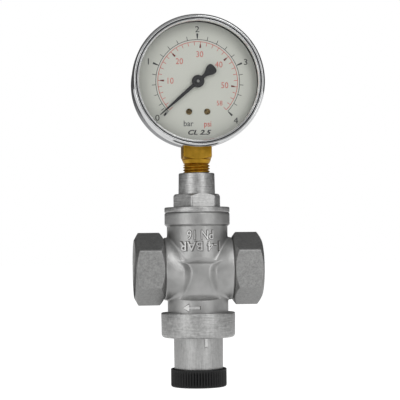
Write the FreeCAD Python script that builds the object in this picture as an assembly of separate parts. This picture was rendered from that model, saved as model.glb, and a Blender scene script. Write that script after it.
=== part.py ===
import FreeCAD, Part
import math
import os

os.makedirs("parts", exist_ok=True)
V = FreeCAD.Vector

# Pressure reducing valve with a 63 mm gauge, in millimetres, +Z up.
# The origin is where the axis of the pipe crosses the upright axis of the valve.
# +X is the inlet, -X the outlet, and the dial faces -Y.

# Clearances
run_gap = 0.05           # radial, shafts, pistons and threads that move
fit_gap = 0.05           # radial, threads and pins that stay put
free_gap = 0.3           # between pieces that pass each other

# Slots of the small screws
slot_width = 0.45
slot_depth = 0.4

# Forged body
face_to_face = 62.0
end_hex_across = 31.0
end_hex_round = 1.2
end_hex_length = 14.0    # from the end face to the waist beside the forging
end_rim_radius = 14.3
end_waist_radius = 14.5
end_waist_length = 1.6
neck_radius = 14.8
bulge_radius = 15.3
recess_flat = 12.0       # half thickness of the body between the two recesses
recess_top = 3.5
recess_bottom = -12.0
recess_half_top = 6.8
recess_half_waist = 4.4
recess_half_bottom = 7.6
top_collar_radius = 15.9
top_collar_height = 5.7
body_top = 27.2
neck_bottom = -21.2
spigot_radius = 14.0
spigot_length = 9.3
arrow_length = 8.3
arrow_height = 3.0
arrow_raise = 0.35
arrow_centre_x = -4.7
arrow_centre_z = -18.6

# Waterways
socket_radius = 13.22    # major radius of the G 3/4 thread
socket_depth = 14.0
passage_radius = 10.5
passage_wall = 4.75      # wall between a socket floor and the half-moon passage
partition_top = 1.0
partition_thickness = 4.0
upper_chamber_radius = 10.0
lower_chamber_radius = 9.5
lower_chamber_depth = 15.5
seat_bore = 4.6
seat_ring_radius = 6.5
seat_flange_radius = 8.0
seat_flange_height = 0.7
seat_lip_width = 0.8
seat_lip_height = 0.6

# Gauge port plug on top
plug_thread_radius = 12.5
plug_thread_length = 8.2
plug_flange_thickness = 2.7
plug_hex_across = 21.0
plug_hex_height = 6.4
plug_hex_turn = 12.3     # degrees
plug_hex_round = 0.9
boss_top_radius = 8.75
boss_bottom_radius = 8.95
boss_height = 10.25
guide_length = 13.0
guide_wall = 2.2
guide_drop = 2.0         # how far the guide hangs below the thread
gauge_port_depth = 8.25
gauge_hole_radius = 1.5
plug_ring_section = 0.9

# Moving valve
valve_lift = 2.8
spindle_radius = 3.0
spindle_bore = 1.25
spindle_thread_radius = 2.5
balance_radius = 4.95
balance_length = 8.0
balance_start = 17.5
disc_radius = 7.2
disc_height = 4.5
seal_radius = 6.4
seal_proud = 0.4
seal_height = 1.8
seal_nut_radius = 4.2
seal_nut_height = 1.7
piston_radius = 11.45
piston_height = 5.2
piston_ring_section = 0.85
balance_ring_section = 0.7
spindle_nut_across = 8.0
spindle_nut_height = 3.0

# Spring bonnet below
bonnet_collar_top_radius = 18.05
bonnet_collar_radius = 17.9
bonnet_collar_height = 12.1
bonnet_collar_round = 1.5
bonnet_tube_radius = 12.0
bonnet_tube_end_radius = 11.85
bonnet_end = -49.6
bonnet_end_wall = 2.0
spring_room_radius = 10.2
gasket_thickness = 0.5
key_width = 3.4
key_depth = 0.8
index_rib_width = 1.8
index_rib_height = 4.8
index_rib_raise = 0.6
index_rib_x = 2.4

# Regulating spring and its adjuster
spring_wire = 2.2
spring_mean_radius = 7.8
spring_turns = 4.5
plate_thickness = 1.6
plate_radius = 9.8
plate_boss_radius = 5.6
plate_boss_height = 4.0
plate_travel = 5.0
screw_radius = 3.9
screw_length = 10.5      # threaded length above the flange
screw_flange_radius = 7.0
screw_flange_height = 1.15
washer_thickness = 0.5
washer_radius = 7.4
drive_across = 6.0
drive_length = 4.0
knob_radius = 13.55
knob_top = -48.4
knob_height = 8.8
knob_wall = 1.25
knob_floor = 1.5
knob_round = 1.0
knob_rib_count = 60
knob_flute_radius = 0.3
knob_screw_radius = 1.5
knob_screw_head_radius = 2.8
knob_screw_head_height = 1.2

# Gauge connection and case
sealing_washer_thickness = 1.95
stem_thread_radius = 6.53
stem_thread_length = 13.05
stem_square = 14.0
stem_taper_low = 6.3      # radius of the turned taper where the thread ends
stem_taper_top = 7.1      # and where it meets the square
stem_taper_length = 2.2
stem_bore = 1.25
square_bevel = 1.2
stem_square_below_case = 5.7
case_radius = 31.35
case_wall = 1.55
case_back = 9.5
case_back_wall = 1.0
case_back_round = 2.0
case_front = -13.9
case_lip_length = 3.1
case_lip_radius = 30.75
case_hole_gap = 0.2
case_screw_radius = 1.25
case_screw_head_radius = 2.1
case_screw_head_height = 1.0
case_screw_x = 4.0
case_screw_rise = 4.2    # above the inside of the case
gauge_gasket_thickness = 0.6
window_thickness = 1.6
window_radius = 30.2
bezel_radius = 32.0
bezel_front = -18.0
bezel_opening = 28.6
bezel_skirt_inner = 30.82
bezel_skirt_end = -10.9
dial_radius = 28.9
dial_front = -11.2
dial_thickness = 0.5
dial_screw_x = 4.4
dial_screw_drop = 14.6
dial_screw_radius = 0.8
dial_screw_head_radius = 1.5
dial_screw_head_height = 0.7
stop_pin_radius = 0.4
stop_pin_circle = 21.5
stop_pin_angle = 45.2    # degrees clockwise from straight down

# Gauge movement: plates, sector and pinion, seen from the front
plate_front = -4.5       # front face of the front plate
movement_plate = 1.0
movement_gap = 5.0
movement_half_width = 5.4
movement_front_half_width = 6.2
movement_top = 7.2       # above the gauge centre
gear_module = 0.25
pinion_teeth = 16
sector_full_teeth = 128
sector_teeth_before = 3
sector_teeth_after = 15
sector_rim = 2.4
sector_front = -1.9
sector_thickness = 0.8
sector_arm_width = 1.7
tooth_thinning = 0.035
arbor_radius = 0.8
arbor_hub_radius = 2.0
tail_length = 6.0
tail_angle = -20.0
tail_width = 2.2
pin_radius = 0.45
open_pin_gap = 0.32      # the pivot where the linkage is open
tip_pin_x = 11.0
tip_pin_drop = 8.3       # below the gauge centre
link_front = -3.0
link_thickness = 0.6
link_width = 2.0
pillar_radius = 1.1
pillar_low_x = 4.2
pillar_top_x = 3.5
pillar_low_rise = 2.4    # above the movement screws
pillar_top_rise = 4.9    # above the gauge centre
movement_screw_radius = 1.0
movement_screw_head_radius = 1.6
movement_screw_head_height = 0.8
movement_screw_x = 2.2
movement_screw_end = 5.4
movement_screw_rise = 2.1    # above the top of the square block
block_top = 3.2          # top of the square block above the inside of the case
tongue_height = 6.5
tongue_front = 2.5
tongue_half_width = 6.0

# Bourdon tube
tube_mean_radius = 21.0
tube_section = 3.0
tube_width = 9.0
tube_front = -2.0
tube_wall = 0.5
tube_start_angle = -112.0
tube_sweep = 286.0
tube_cap_sweep = 9.0
tip_arm_thickness = 1.4

# Pointer
pointer_angle = 48.6     # degrees clockwise from straight down
pointer_length = 24.8
pointer_tail = 10.0
pointer_tail_width = 5.2
pointer_root_width = 1.9
pointer_tip_width = 0.5
pointer_thickness = 0.4
pointer_front = -12.85
pointer_ring_radius = 2.95
pinion_shaft_radius = 0.7
hairspring_turns = 3.5
hairspring_outer = 4.4
hairspring_inner = 1.45
hairspring_wire = 0.16
hairspring_width = 0.6
hairspring_front = 0.3
hairspring_stud_gap = 0.52

# Levels worked out from the sizes above
half_length = face_to_face / 2
spigot_end = neck_bottom - spigot_length
partition_bottom = partition_top - partition_thickness
piston_bore_top = partition_bottom - lower_chamber_depth
piston_bore_radius = piston_radius + run_gap
piston_top = piston_bore_top - free_gap
piston_bottom = piston_top - piston_height
seat_lip_top = partition_top + seat_flange_height + seat_lip_height
seal_bottom = seat_lip_top + valve_lift
disc_bottom = seal_bottom + seal_proud
seal_top = seal_bottom + seal_height
disc_top = disc_bottom + disc_height
plug_thread_end = body_top - plug_thread_length
guide_bottom = plug_thread_end - guide_drop
guide_top = guide_bottom + guide_length
guide_radius = balance_radius + run_gap
hex_bottom = body_top + plug_flange_thickness
hex_top = hex_bottom + plug_hex_height
boss_top = hex_top + boss_height
gauge_port_bottom = boss_top - gauge_port_depth
gauge_port_radius = stem_thread_radius + fit_gap
stem_tip = gauge_port_bottom + sealing_washer_thickness
square_bottom = stem_tip + stem_thread_length
case_bottom = square_bottom + stem_square_below_case
gauge_z = case_bottom + case_radius
case_inside_radius = case_radius - case_wall
case_floor = gauge_z - case_inside_radius
balance_end = balance_start + balance_length
bonnet_ledge = spigot_end - gasket_thickness
bonnet_collar_end = neck_bottom - bonnet_collar_height
end_wall_top = bonnet_end + bonnet_end_wall
washer_top = end_wall_top + washer_thickness
screw_flange_bottom = washer_top + run_gap
screw_flange_top = screw_flange_bottom + screw_flange_height
screw_top = screw_flange_top + screw_length
plate_bottom = screw_flange_top + 0.4
plate_top = plate_bottom + plate_thickness
knob_bottom = knob_top - knob_height
drive_top = bonnet_end - 0.4
drive_end = drive_top - drive_length
window_back = case_front - gauge_gasket_thickness
window_front = window_back - window_thickness
dial_back = dial_front + dial_thickness
plate_back = plate_front + movement_plate
rear_plate_front = plate_back + movement_gap
rear_plate_back = rear_plate_front + movement_plate
pivot_drop = gear_module * (pinion_teeth + sector_full_teeth) / 2
pivot_z = gauge_z - pivot_drop
block_top_z = case_floor + block_top
tip_pin_z = gauge_z - tip_pin_drop
tail_pin_x = tail_length * math.cos(math.radians(tail_angle))
tail_pin_z = pivot_z + tail_length * math.sin(math.radians(tail_angle))
dial_screw_z = gauge_z - dial_screw_drop
pinion_front = pointer_front - 0.55
hairspring_stud_x = hairspring_outer + hairspring_stud_gap
case_screw_end = movement_screw_end + 0.4
case_screw_z = case_floor + case_screw_rise
movement_screw_z = block_top_z + movement_screw_rise
pillar_low_z = movement_screw_z + pillar_low_rise
pillar_top_z = gauge_z + pillar_top_rise
pillar_places = [
    (-pillar_low_x, pillar_low_z), (pillar_low_x, pillar_low_z),
    (-pillar_top_x, pillar_top_z), (pillar_top_x, pillar_top_z)]


# Basic solids

def rod(radius, z0, z1, x=0.0, y=0.0):
    return Part.makeCylinder(radius, abs(z1 - z0), V(x, y, min(z0, z1)))


def rod_x(radius, x0, x1, y=0.0, z=0.0):
    return Part.makeCylinder(radius, abs(x1 - x0), V(min(x0, x1), y, z), V(1, 0, 0))


def rod_y(radius, y0, y1, x=0.0, z=0.0):
    return Part.makeCylinder(radius, abs(y1 - y0), V(x, min(y0, y1), z), V(0, 1, 0))


def sleeve(outer, inner, z0, z1):
    return rod(outer, z0, z1).cut(rod(inner, z0 - 1, z1 + 1))


def block(x0, x1, y0, y1, z0, z1):
    return Part.makeBox(x1 - x0, y1 - y0, z1 - z0, V(x0, y0, z0))


def prism_y(points, y0, y1):
    # a flat outline given as x, z points, extruded along Y
    corners = [V(x, y0, z) for x, z in points]
    face = Part.Face(Part.makePolygon(corners + corners[:1]))
    return face.extrude(V(0, y1 - y0, 0))


def bar_y(x0, z0, x1, z1, width, y0, y1):
    # a flat bar with round ends between two points
    length = math.hypot(x1 - x0, z1 - z0)
    side = width / 2
    nx = -(z1 - z0) / length * side
    nz = (x1 - x0) / length * side
    sides = [(x0 + nx, z0 + nz), (x1 + nx, z1 + nz), (x1 - nx, z1 - nz), (x0 - nx, z0 - nz)]
    middle = prism_y(sides, y0, y1)
    ends = [rod_y(side, y0, y1, x0, z0), rod_y(side, y0, y1, x1, z1)]
    return middle.multiFuse(ends).removeSplitter()


def turned(points):
    # a profile of radius, z points turned about the upright axis
    corners = [V(r, 0, z) for r, z in points]
    face = Part.Face(Part.makePolygon(corners + corners[:1]))
    return face.revolve(V(0, 0, 0), V(0, 0, 1), 360)


def turned_x(points):
    # a profile of x, radius points turned about the pipe axis
    corners = [V(x, 0, r) for x, r in points]
    face = Part.Face(Part.makePolygon(corners + corners[:1]))
    return face.revolve(V(0, 0, 0), V(1, 0, 0), 360)


def turned_y(points):
    # a profile of radius, y points turned about the axis of the gauge
    corners = [V(r, y, gauge_z) for r, y in points]
    face = Part.Face(Part.makePolygon(corners + corners[:1]))
    return face.revolve(V(0, 0, gauge_z), V(0, 1, 0), 360)


def ring(mean_radius, section, z):
    return Part.makeTorus(mean_radius, section, V(0, 0, z))


def hexagon(across, z0, z1, turn=0.0, corner=0.0):
    # an upright hexagonal prism, one corner on +X before it is turned
    circle = across / math.sqrt(3)
    angles = [math.radians(turn + 60 * i) for i in range(6)]
    corners = [V(circle * math.cos(a), circle * math.sin(a), z0) for a in angles]
    solid = Part.Face(Part.makePolygon(corners + corners[:1])).extrude(V(0, 0, z1 - z0))
    if corner:
        upright = [e for e in solid.Edges if abs(e.tangentAt(e.FirstParameter).z) > 0.9]
        solid = solid.makeFillet(corner, upright)
    return solid


def screw_slot(x, z, head_radius, y0, y1):
    # the block cut out of a screw's head that faces along Y
    reach = head_radius + 0.5
    return block(x - reach, x + reach, y0, y1, z - slot_width / 2, z + slot_width / 2)


def round_rims(shape, radius, level, near_radius=None):
    # rounds the circular edges lying flat at one level
    rims = []
    for edge in shape.Edges:
        box = edge.BoundBox
        flat = box.ZLength < 1e-4 and abs(box.ZMin - level) < 1e-3
        wanted = near_radius is None or abs(box.XLength / 2 - near_radius) < 0.05
        if flat and wanted and hasattr(edge.Curve, "Radius"):
            rims.append(edge)
    return shape.makeFillet(radius, rims)


def save(name, shape):
    shape.exportStep("parts/" + name + ".step")


# Forged body and what is screwed into it

def end_hex():
    # one hexagonal pipe end on +X, a flat facing front and back
    start = half_length - end_hex_length
    prism = hexagon(end_hex_across, start, half_length, 0, end_hex_round)
    prism.rotate(V(0, 0, 0), V(0, 1, 0), 90)
    corner = end_hex_across / math.sqrt(3)
    chamfer = 2.0
    envelope = turned_x([
        (start, 0), (start, end_waist_radius + 0.9), (start + chamfer, corner + 0.2),
        (half_length - chamfer, corner), (half_length, end_rim_radius), (half_length, 0)])
    return prism.common(envelope)


def recess():
    # the front recess between the two pipe bulges, wider above and below its waist
    middle = (recess_top + recess_bottom) / 2 + 1.2
    y = -recess_flat
    top_left = V(-recess_half_top, y, recess_top)
    top_right = V(recess_half_top, y, recess_top)
    low_left = V(-recess_half_bottom, y, recess_bottom + 1.2)
    low_right = V(recess_half_bottom, y, recess_bottom + 1.2)
    edges = [
        Part.Arc(top_left, V(0, y, recess_top + 1.2), top_right).toShape(),
        Part.Arc(top_right, V(recess_half_waist, y, middle), low_right).toShape(),
        Part.Arc(low_right, V(0, y, recess_bottom), low_left).toShape(),
        Part.Arc(low_left, V(-recess_half_waist, y, middle), top_left).toShape()]
    return Part.Face(Part.Wire(edges)).extrude(V(0, -6, 0))


def flow_arrow():
    # raised on the front of the lower neck, pointing at the outlet
    left = arrow_centre_x - arrow_length / 2
    right = arrow_centre_x + arrow_length / 2
    head = arrow_length * 0.36
    half = arrow_height / 2
    shaft = half * 0.42
    z = arrow_centre_z
    outline = [
        (left, z), (left + head, z + half), (left + head, z + shaft), (right, z + shaft),
        (right, z - shaft), (left + head, z - shaft), (left + head, z - half)]
    flat = prism_y(outline, -neck_radius - 2, -neck_radius / 2)
    shell = sleeve(neck_radius + arrow_raise, neck_radius - 0.5, z - arrow_height, z + arrow_height)
    return flat.common(shell)


def valve_body():
    collar_bottom = body_top - top_collar_height
    neck = turned([
        (0, spigot_end), (spigot_radius, spigot_end), (spigot_radius, neck_bottom),
        (neck_radius, neck_bottom), (neck_radius, collar_bottom - 1),
        (top_collar_radius, collar_bottom), (top_collar_radius, body_top), (0, body_top)])
    hex_start = half_length - end_hex_length
    bulge_end = hex_start - end_waist_length
    pipe = turned_x([
        (-hex_start - 1, 0), (-hex_start - 1, end_waist_radius), (-bulge_end - 0.8, end_waist_radius),
        (-bulge_end + 0.6, bulge_radius), (bulge_end - 0.6, bulge_radius),
        (bulge_end + 0.8, end_waist_radius), (hex_start + 1, end_waist_radius), (hex_start + 1, 0)])
    pocket = recess()
    back_pocket = pocket.mirror(V(0, 0, 0), V(0, 1, 0))
    inlet_hex = end_hex()
    outlet_hex = inlet_hex.mirror(V(0, 0, 0), V(1, 0, 0))
    outside = neck.fuse(pipe).cut(pocket).cut(back_pocket)
    outside = outside.multiFuse([inlet_hex, outlet_hex, flow_arrow()])

    upper = rod(upper_chamber_radius, partition_top, plug_thread_end)
    thread = rod(plug_thread_radius + fit_gap, plug_thread_end, body_top + 1)
    seal_recess = rod(plug_thread_radius + 0.6, body_top - 2, body_top + 1)
    lower = rod(lower_chamber_radius, piston_bore_top, partition_bottom)
    bore = rod(piston_bore_radius, spigot_end - 1, piston_bore_top)
    seat_hole = rod(seat_ring_radius, partition_bottom - 1, partition_top + 1)
    socket_floor = half_length - socket_depth
    mouth = socket_floor - passage_wall
    reach = passage_radius + 1
    high = block(0, half_length, -reach, reach, partition_top, reach)
    low = block(-half_length, 0, -reach, reach, -reach, partition_bottom)
    inlet_moon = rod_x(passage_radius, 5, socket_floor + 1).common(high)
    outlet_moon = rod_x(passage_radius, -socket_floor - 1, -5).common(low)
    inside = [
        upper, thread, seal_recess, lower, bore, seat_hole, inlet_moon, outlet_moon,
        rod_x(passage_radius, mouth, socket_floor + 1), rod_x(passage_radius, -socket_floor - 1, -mouth),
        rod_x(socket_radius, socket_floor, half_length + 1),
        rod_x(socket_radius, -half_length - 1, -socket_floor)]
    for hollow in inside:
        outside = outside.cut(hollow)
    return outside.removeSplitter()


def seat_ring():
    flange_top = partition_top + seat_flange_height
    return turned([
        (seat_bore, partition_bottom), (seat_ring_radius, partition_bottom),
        (seat_ring_radius, partition_top), (seat_flange_radius, partition_top),
        (seat_flange_radius, flange_top),
        (seat_bore + seat_lip_width + 0.3, flange_top), (seat_bore + seat_lip_width, seat_lip_top),
        (seat_bore, seat_lip_top)])


def gauge_port_plug():
    flange = rod(top_collar_radius, body_top, hex_bottom)
    hex_part = hexagon(plug_hex_across, hex_bottom, hex_top, plug_hex_turn, plug_hex_round)
    corner = plug_hex_across / math.sqrt(3)
    crown = turned([
        (0, hex_bottom - 1), (corner + 1, hex_bottom - 1), (corner + 1, hex_top - 1.2),
        (corner - 1.6, hex_top), (0, hex_top)])
    boss = turned([
        (0, hex_top - 1), (boss_bottom_radius, hex_top - 1), (boss_bottom_radius, hex_top),
        (boss_top_radius, boss_top - 0.4), (boss_top_radius - 0.4, boss_top), (0, boss_top)])
    groove_bottom = body_top - 2
    skirt = turned([
        (0, plug_thread_end), (plug_thread_radius - 0.6, plug_thread_end),
        (plug_thread_radius, plug_thread_end + 0.6), (plug_thread_radius, groove_bottom),
        (plug_thread_radius - 1.3, groove_bottom), (plug_thread_radius - 1.3, body_top), (0, body_top)])
    guide = rod(guide_radius + guide_wall, guide_bottom, plug_thread_end)
    solid = flange.multiFuse([hex_part.common(crown), boss, skirt, guide])
    solid = solid.cut(rod(guide_radius, guide_bottom - 1, guide_top))
    solid = solid.cut(rod(gauge_hole_radius, guide_top - 1, gauge_port_bottom + 1))
    solid = solid.cut(rod(gauge_port_radius, gauge_port_bottom, boss_top + 1))
    solid = solid.removeSplitter()
    return round_rims(solid, 0.35, hex_bottom, top_collar_radius)


def plug_o_ring():
    inner = plug_thread_radius - 1.3
    return ring(inner + plug_ring_section + 0.01, plug_ring_section, body_top - 1)


# The valve that moves: spindle, disc and piston

def valve_spindle():
    shoulder = spindle_radius + 1.2
    groove = balance_radius - 2 * balance_ring_section
    groove_middle = (balance_start + balance_end) / 2
    groove_half = balance_ring_section + 0.1
    end = piston_bottom - spindle_nut_height - 0.5
    solid = turned([
        (0, end), (spindle_thread_radius, end), (spindle_thread_radius, piston_top),
        (spindle_radius, piston_top), (spindle_radius, disc_top), (shoulder, disc_top),
        (shoulder, disc_top + 1.5), (spindle_radius, disc_top + 1.5), (spindle_radius, balance_start),
        (balance_radius, balance_start), (balance_radius, groove_middle - groove_half),
        (groove, groove_middle - groove_half), (groove, groove_middle + groove_half),
        (balance_radius, groove_middle + groove_half), (balance_radius, balance_end), (0, balance_end)])
    cross = partition_bottom - 7
    solid = solid.cut(rod(spindle_bore, cross, balance_end + 1))
    return solid.cut(rod_x(spindle_bore, -spindle_radius - 1, spindle_radius + 1, 0, cross))


def balance_o_ring():
    middle = (balance_start + balance_end) / 2
    return ring(balance_radius - balance_ring_section, balance_ring_section, middle)


def valve_disc():
    solid = turned([
        (spindle_radius, seal_top), (seal_radius, seal_top), (seal_radius, disc_bottom),
        (disc_radius, disc_bottom), (disc_radius, disc_top - 1), (disc_radius - 1, disc_top),
        (spindle_radius, disc_top)])
    return solid


def valve_seal():
    return sleeve(seal_radius, spindle_radius, seal_bottom, seal_top)


def seal_nut():
    return sleeve(seal_nut_radius, spindle_radius, seal_bottom - seal_nut_height, seal_bottom)


def piston():
    middle = (piston_top + piston_bottom) / 2
    half = piston_ring_section + 0.1
    groove = piston_radius - 2 * piston_ring_section
    return turned([
        (spindle_thread_radius, piston_bottom), (piston_radius - 0.5, piston_bottom),
        (piston_radius, piston_bottom + 0.5), (piston_radius, middle - half), (groove, middle - half),
        (groove, middle + half), (piston_radius, middle + half), (piston_radius, piston_top - 0.5),
        (piston_radius - 0.5, piston_top), (spindle_thread_radius, piston_top)])


def piston_o_ring():
    middle = (piston_top + piston_bottom) / 2
    return ring(piston_radius - piston_ring_section, piston_ring_section, middle)


def spindle_nut():
    solid = hexagon(spindle_nut_across, piston_bottom - spindle_nut_height, piston_bottom)
    return solid.cut(rod(spindle_thread_radius, piston_bottom - spindle_nut_height - 1, piston_bottom + 1))


# Bonnet, regulating spring and adjuster

def spring_bonnet():
    thread = spigot_radius + fit_gap
    shell = turned([
        (thread, neck_bottom), (bonnet_collar_top_radius - 0.5, neck_bottom),
        (bonnet_collar_top_radius, neck_bottom - 0.5), (bonnet_collar_radius, bonnet_collar_end),
        (bonnet_tube_radius, bonnet_collar_end), (bonnet_tube_end_radius, bonnet_end),
        (screw_radius + run_gap, bonnet_end), (screw_radius + run_gap, end_wall_top),
        (spring_room_radius, end_wall_top), (spring_room_radius, bonnet_ledge), (thread, bonnet_ledge)])
    shell = round_rims(shell, bonnet_collar_round, bonnet_collar_end, bonnet_collar_radius)
    rib_top = bonnet_collar_end + 0.5
    rib_outer = rod(bonnet_tube_radius + index_rib_raise, rib_top - index_rib_height - 0.5, rib_top)
    rib = block(index_rib_x - index_rib_width / 2, index_rib_x + index_rib_width / 2,
                -bonnet_tube_radius - 2, -spring_room_radius - 0.6,
                rib_top - index_rib_height - 0.5, rib_top)
    shell = shell.fuse(rib.common(rib_outer))
    key = block(-key_width / 2, key_width / 2, -spring_room_radius - key_depth,
                spring_room_radius + key_depth, end_wall_top, plate_top + plate_travel + 1)
    return shell.cut(key).removeSplitter()


def bonnet_gasket():
    return sleeve(spigot_radius - 0.1, piston_bore_radius + 0.1, bonnet_ledge, spigot_end)


def regulating_spring():
    low = plate_top + spring_wire / 2
    high = piston_bottom - spring_wire / 2
    pitch = (high - low) / spring_turns
    path = Part.Wire(Part.makeHelix(pitch, high - low, spring_mean_radius).Edges)
    path.translate(V(0, 0, low))
    ahead = V(0, 2 * math.pi * spring_mean_radius, pitch)
    wire = Part.makeCircle(spring_wire / 2 - 0.02, V(spring_mean_radius, 0, low), ahead)
    return Part.Wire(path).makePipeShell([Part.Wire(wire)], True, True)


def spring_plate():
    hole = screw_radius + run_gap
    solid = turned([
        (hole, plate_bottom), (plate_radius, plate_bottom), (plate_radius, plate_top),
        (plate_boss_radius, plate_top), (plate_boss_radius, plate_top + plate_boss_height),
        (hole, plate_top + plate_boss_height)])
    lug_reach = spring_room_radius + key_depth - free_gap
    lug_half = key_width / 2 - 0.2
    lugs = block(-lug_half, lug_half, -lug_reach, lug_reach, plate_bottom, plate_top)
    lugs = lugs.cut(rod(plate_boss_radius, plate_bottom - 1, plate_top + 1))
    return solid.fuse(lugs).removeSplitter()


def adjusting_screw():
    solid = turned([
        (0, drive_top), (screw_radius, drive_top), (screw_radius, screw_flange_bottom),
        (screw_flange_radius, screw_flange_bottom), (screw_flange_radius, screw_flange_top),
        (screw_radius, screw_flange_top), (screw_radius, screw_top - 0.6),
        (screw_radius - 0.6, screw_top), (0, screw_top)])
    solid = solid.fuse(hexagon(drive_across, drive_end, drive_top))
    return solid.cut(rod(knob_screw_radius, drive_end - 1, drive_top - 0.5)).removeSplitter()


def thrust_washer():
    return sleeve(washer_radius, screw_radius + free_gap, end_wall_top, washer_top)


def adjusting_knob():
    floor_top = knob_bottom + knob_floor
    hub = drive_across / math.sqrt(3) + 1.4
    cup_inner = knob_radius - knob_wall
    shell = turned([
        (0, knob_bottom), (knob_radius - knob_round, knob_bottom), (knob_radius, knob_bottom + knob_round),
        (knob_radius, knob_top - 0.5), (knob_radius - 0.5, knob_top), (cup_inner, knob_top),
        (cup_inner, floor_top), (hub, floor_top), (hub, drive_top), (0, drive_top)])
    flutes = []
    for i in range(knob_rib_count):
        angle = 2 * math.pi * i / knob_rib_count
        x = (knob_radius + 0.05) * math.cos(angle)
        y = (knob_radius + 0.05) * math.sin(angle)
        flutes.append(rod(knob_flute_radius, knob_bottom + knob_round, knob_top + 1, x, y))
    shell = shell.cut(Part.makeCompound(flutes))
    shell = shell.cut(hexagon(drive_across, drive_end, drive_top + 1))
    shell = shell.cut(rod(knob_screw_radius, knob_bottom - 1, drive_end + 1))
    counterbore_end = knob_bottom + knob_screw_head_height
    return shell.cut(rod(knob_screw_head_radius + 0.1, knob_bottom - 1, counterbore_end))


def knob_screw():
    head_top = knob_bottom + knob_screw_head_height
    head_low = knob_bottom + 0.2
    solid = rod(knob_screw_head_radius, head_low, head_top)
    solid = solid.fuse(rod(knob_screw_radius, head_top, drive_top - 0.8))
    return solid.cut(hexagon(2.5, head_low - 1, head_low + 0.8)).removeSplitter()


# Gauge connection, case and dial

def gauge_sealing_washer():
    return sleeve(stem_thread_radius - 0.4, stem_bore + 1.5, gauge_port_bottom, stem_tip)


def gauge_socket():
    half = stem_square / 2
    taper_bottom = square_bottom - stem_taper_length
    stem = turned([
        (0, stem_tip), (stem_thread_radius - 0.8, stem_tip), (stem_thread_radius, stem_tip + 0.8),
        (stem_thread_radius, taper_bottom), (stem_taper_low, taper_bottom),
        (stem_taper_top, square_bottom), (0, square_bottom)])
    corner = half * math.sqrt(2)
    square = block(-half, half, -half, half, square_bottom, block_top_z)
    bevel = turned([
        (0, square_bottom - 1), (stem_taper_top, square_bottom - 1), (stem_taper_top, square_bottom),
        (corner, square_bottom + square_bevel), (corner, block_top_z), (0, block_top_z)])
    tongue_top = block_top_z + tongue_height
    tongue = block(-half, tongue_half_width, tongue_front, half, block_top_z - 1, tongue_top)
    ear = block(-11, -movement_half_width - 0.3, -3, case_back - case_back_wall - 0.8,
                block_top_z + 1.5, block_top_z + 9.5)
    pad = block(-tongue_half_width, tongue_half_width, half - 1, case_back - case_back_wall,
                case_floor + 2.2, case_floor + 6.2)
    solid = stem.multiFuse([square.common(bevel), tongue, ear, pad]).removeSplitter()
    start = math.radians(tube_start_angle)
    solid = solid.cut(tube_body(tube_section / 2, tube_width / 2))
    rise = block_top_z + 2
    solid = solid.cut(rod(stem_bore, stem_tip - 1, rise))
    low = V(0, 4.5, rise - 1)
    high = V(tube_mean_radius * math.cos(start), 4.5, gauge_z + tube_mean_radius * math.sin(start))
    solid = solid.cut(Part.makeCylinder(0.9, (high - low).Length, low, high - low))
    solid = solid.cut(rod_y(0.9, 0, 4.5, 0, rise - 1))
    for side in (-1, 1):
        x = side * case_screw_x
        solid = solid.cut(rod_y(case_screw_radius, case_screw_end, case_back + 1, x, case_screw_z))
        x = side * movement_screw_x
        solid = solid.cut(rod_y(movement_screw_radius, 0, movement_screw_end + 0.1, x, movement_screw_z))
    return solid


def gauge_case():
    back_inside = case_back - case_back_wall
    lip_end = case_front + case_lip_length
    cup = turned_y([
        (0, case_back), (case_radius - case_back_round, case_back),
        (case_radius, case_back - case_back_round),
        (case_radius, lip_end), (case_lip_radius, lip_end), (case_lip_radius, case_front),
        (case_inside_radius, case_front), (case_inside_radius, back_inside), (0, back_inside)])
    half = stem_square / 2 + case_hole_gap
    cup = cup.cut(block(-half, half, -half, half, case_bottom - 2, case_floor + 3))
    for side in (-1, 1):
        cup = cup.cut(rod_y(case_screw_radius, 0, case_back + 1, side * case_screw_x, case_screw_z))
    return cup


def case_screws():
    pieces = []
    for side in (-1, 1):
        x = side * case_screw_x
        shank = rod_y(case_screw_radius, case_screw_end + 0.2, case_back, x, case_screw_z)
        head_end = case_back + case_screw_head_height
        head = rod_y(case_screw_head_radius, case_back, head_end, x, case_screw_z)
        slot = screw_slot(x, case_screw_z, case_screw_head_radius, head_end - slot_depth, head_end + 1)
        pieces.append(shank.fuse(head).cut(slot).removeSplitter())
    return Part.makeCompound(pieces)


def bezel_ring():
    groove = bezel_opening + 2.0
    return turned_y([
        (bezel_opening, window_front), (bezel_opening, bezel_front + 0.9),
        (bezel_opening + 0.5, bezel_front + 0.3), (groove - 0.6, bezel_front + 0.3),
        (groove - 0.2, bezel_front + 0.6), (groove + 0.2, bezel_front + 0.2),
        (groove + 0.5, bezel_front), (bezel_radius - 0.4, bezel_front), (bezel_radius, bezel_front + 0.7),
        (bezel_radius, bezel_skirt_end - 0.3), (bezel_radius - 0.3, bezel_skirt_end),
        (bezel_skirt_inner, bezel_skirt_end), (bezel_skirt_inner, window_front)])


def gauge_window():
    return rod_y(window_radius, window_front, window_back, 0, gauge_z)


def window_gasket():
    outer = rod_y(case_lip_radius, window_back, case_front, 0, gauge_z)
    return outer.cut(rod_y(bezel_opening, window_back - 1, case_front + 1, 0, gauge_z))


def dial_plate():
    disc = rod_y(dial_radius, dial_front, dial_back, 0, gauge_z)
    disc = disc.cut(rod_y(1.5, dial_front - 1, dial_back + 1, 0, gauge_z))
    for side in (-1, 1):
        x = side * dial_screw_x
        disc = disc.cut(rod_y(dial_screw_radius, dial_front - 1, dial_back + 1, x, dial_screw_z))
    x, z = on_dial(stop_pin_circle, stop_pin_angle)
    return disc.cut(rod_y(stop_pin_radius, dial_front - 1, dial_back + 1, x, z))


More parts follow.
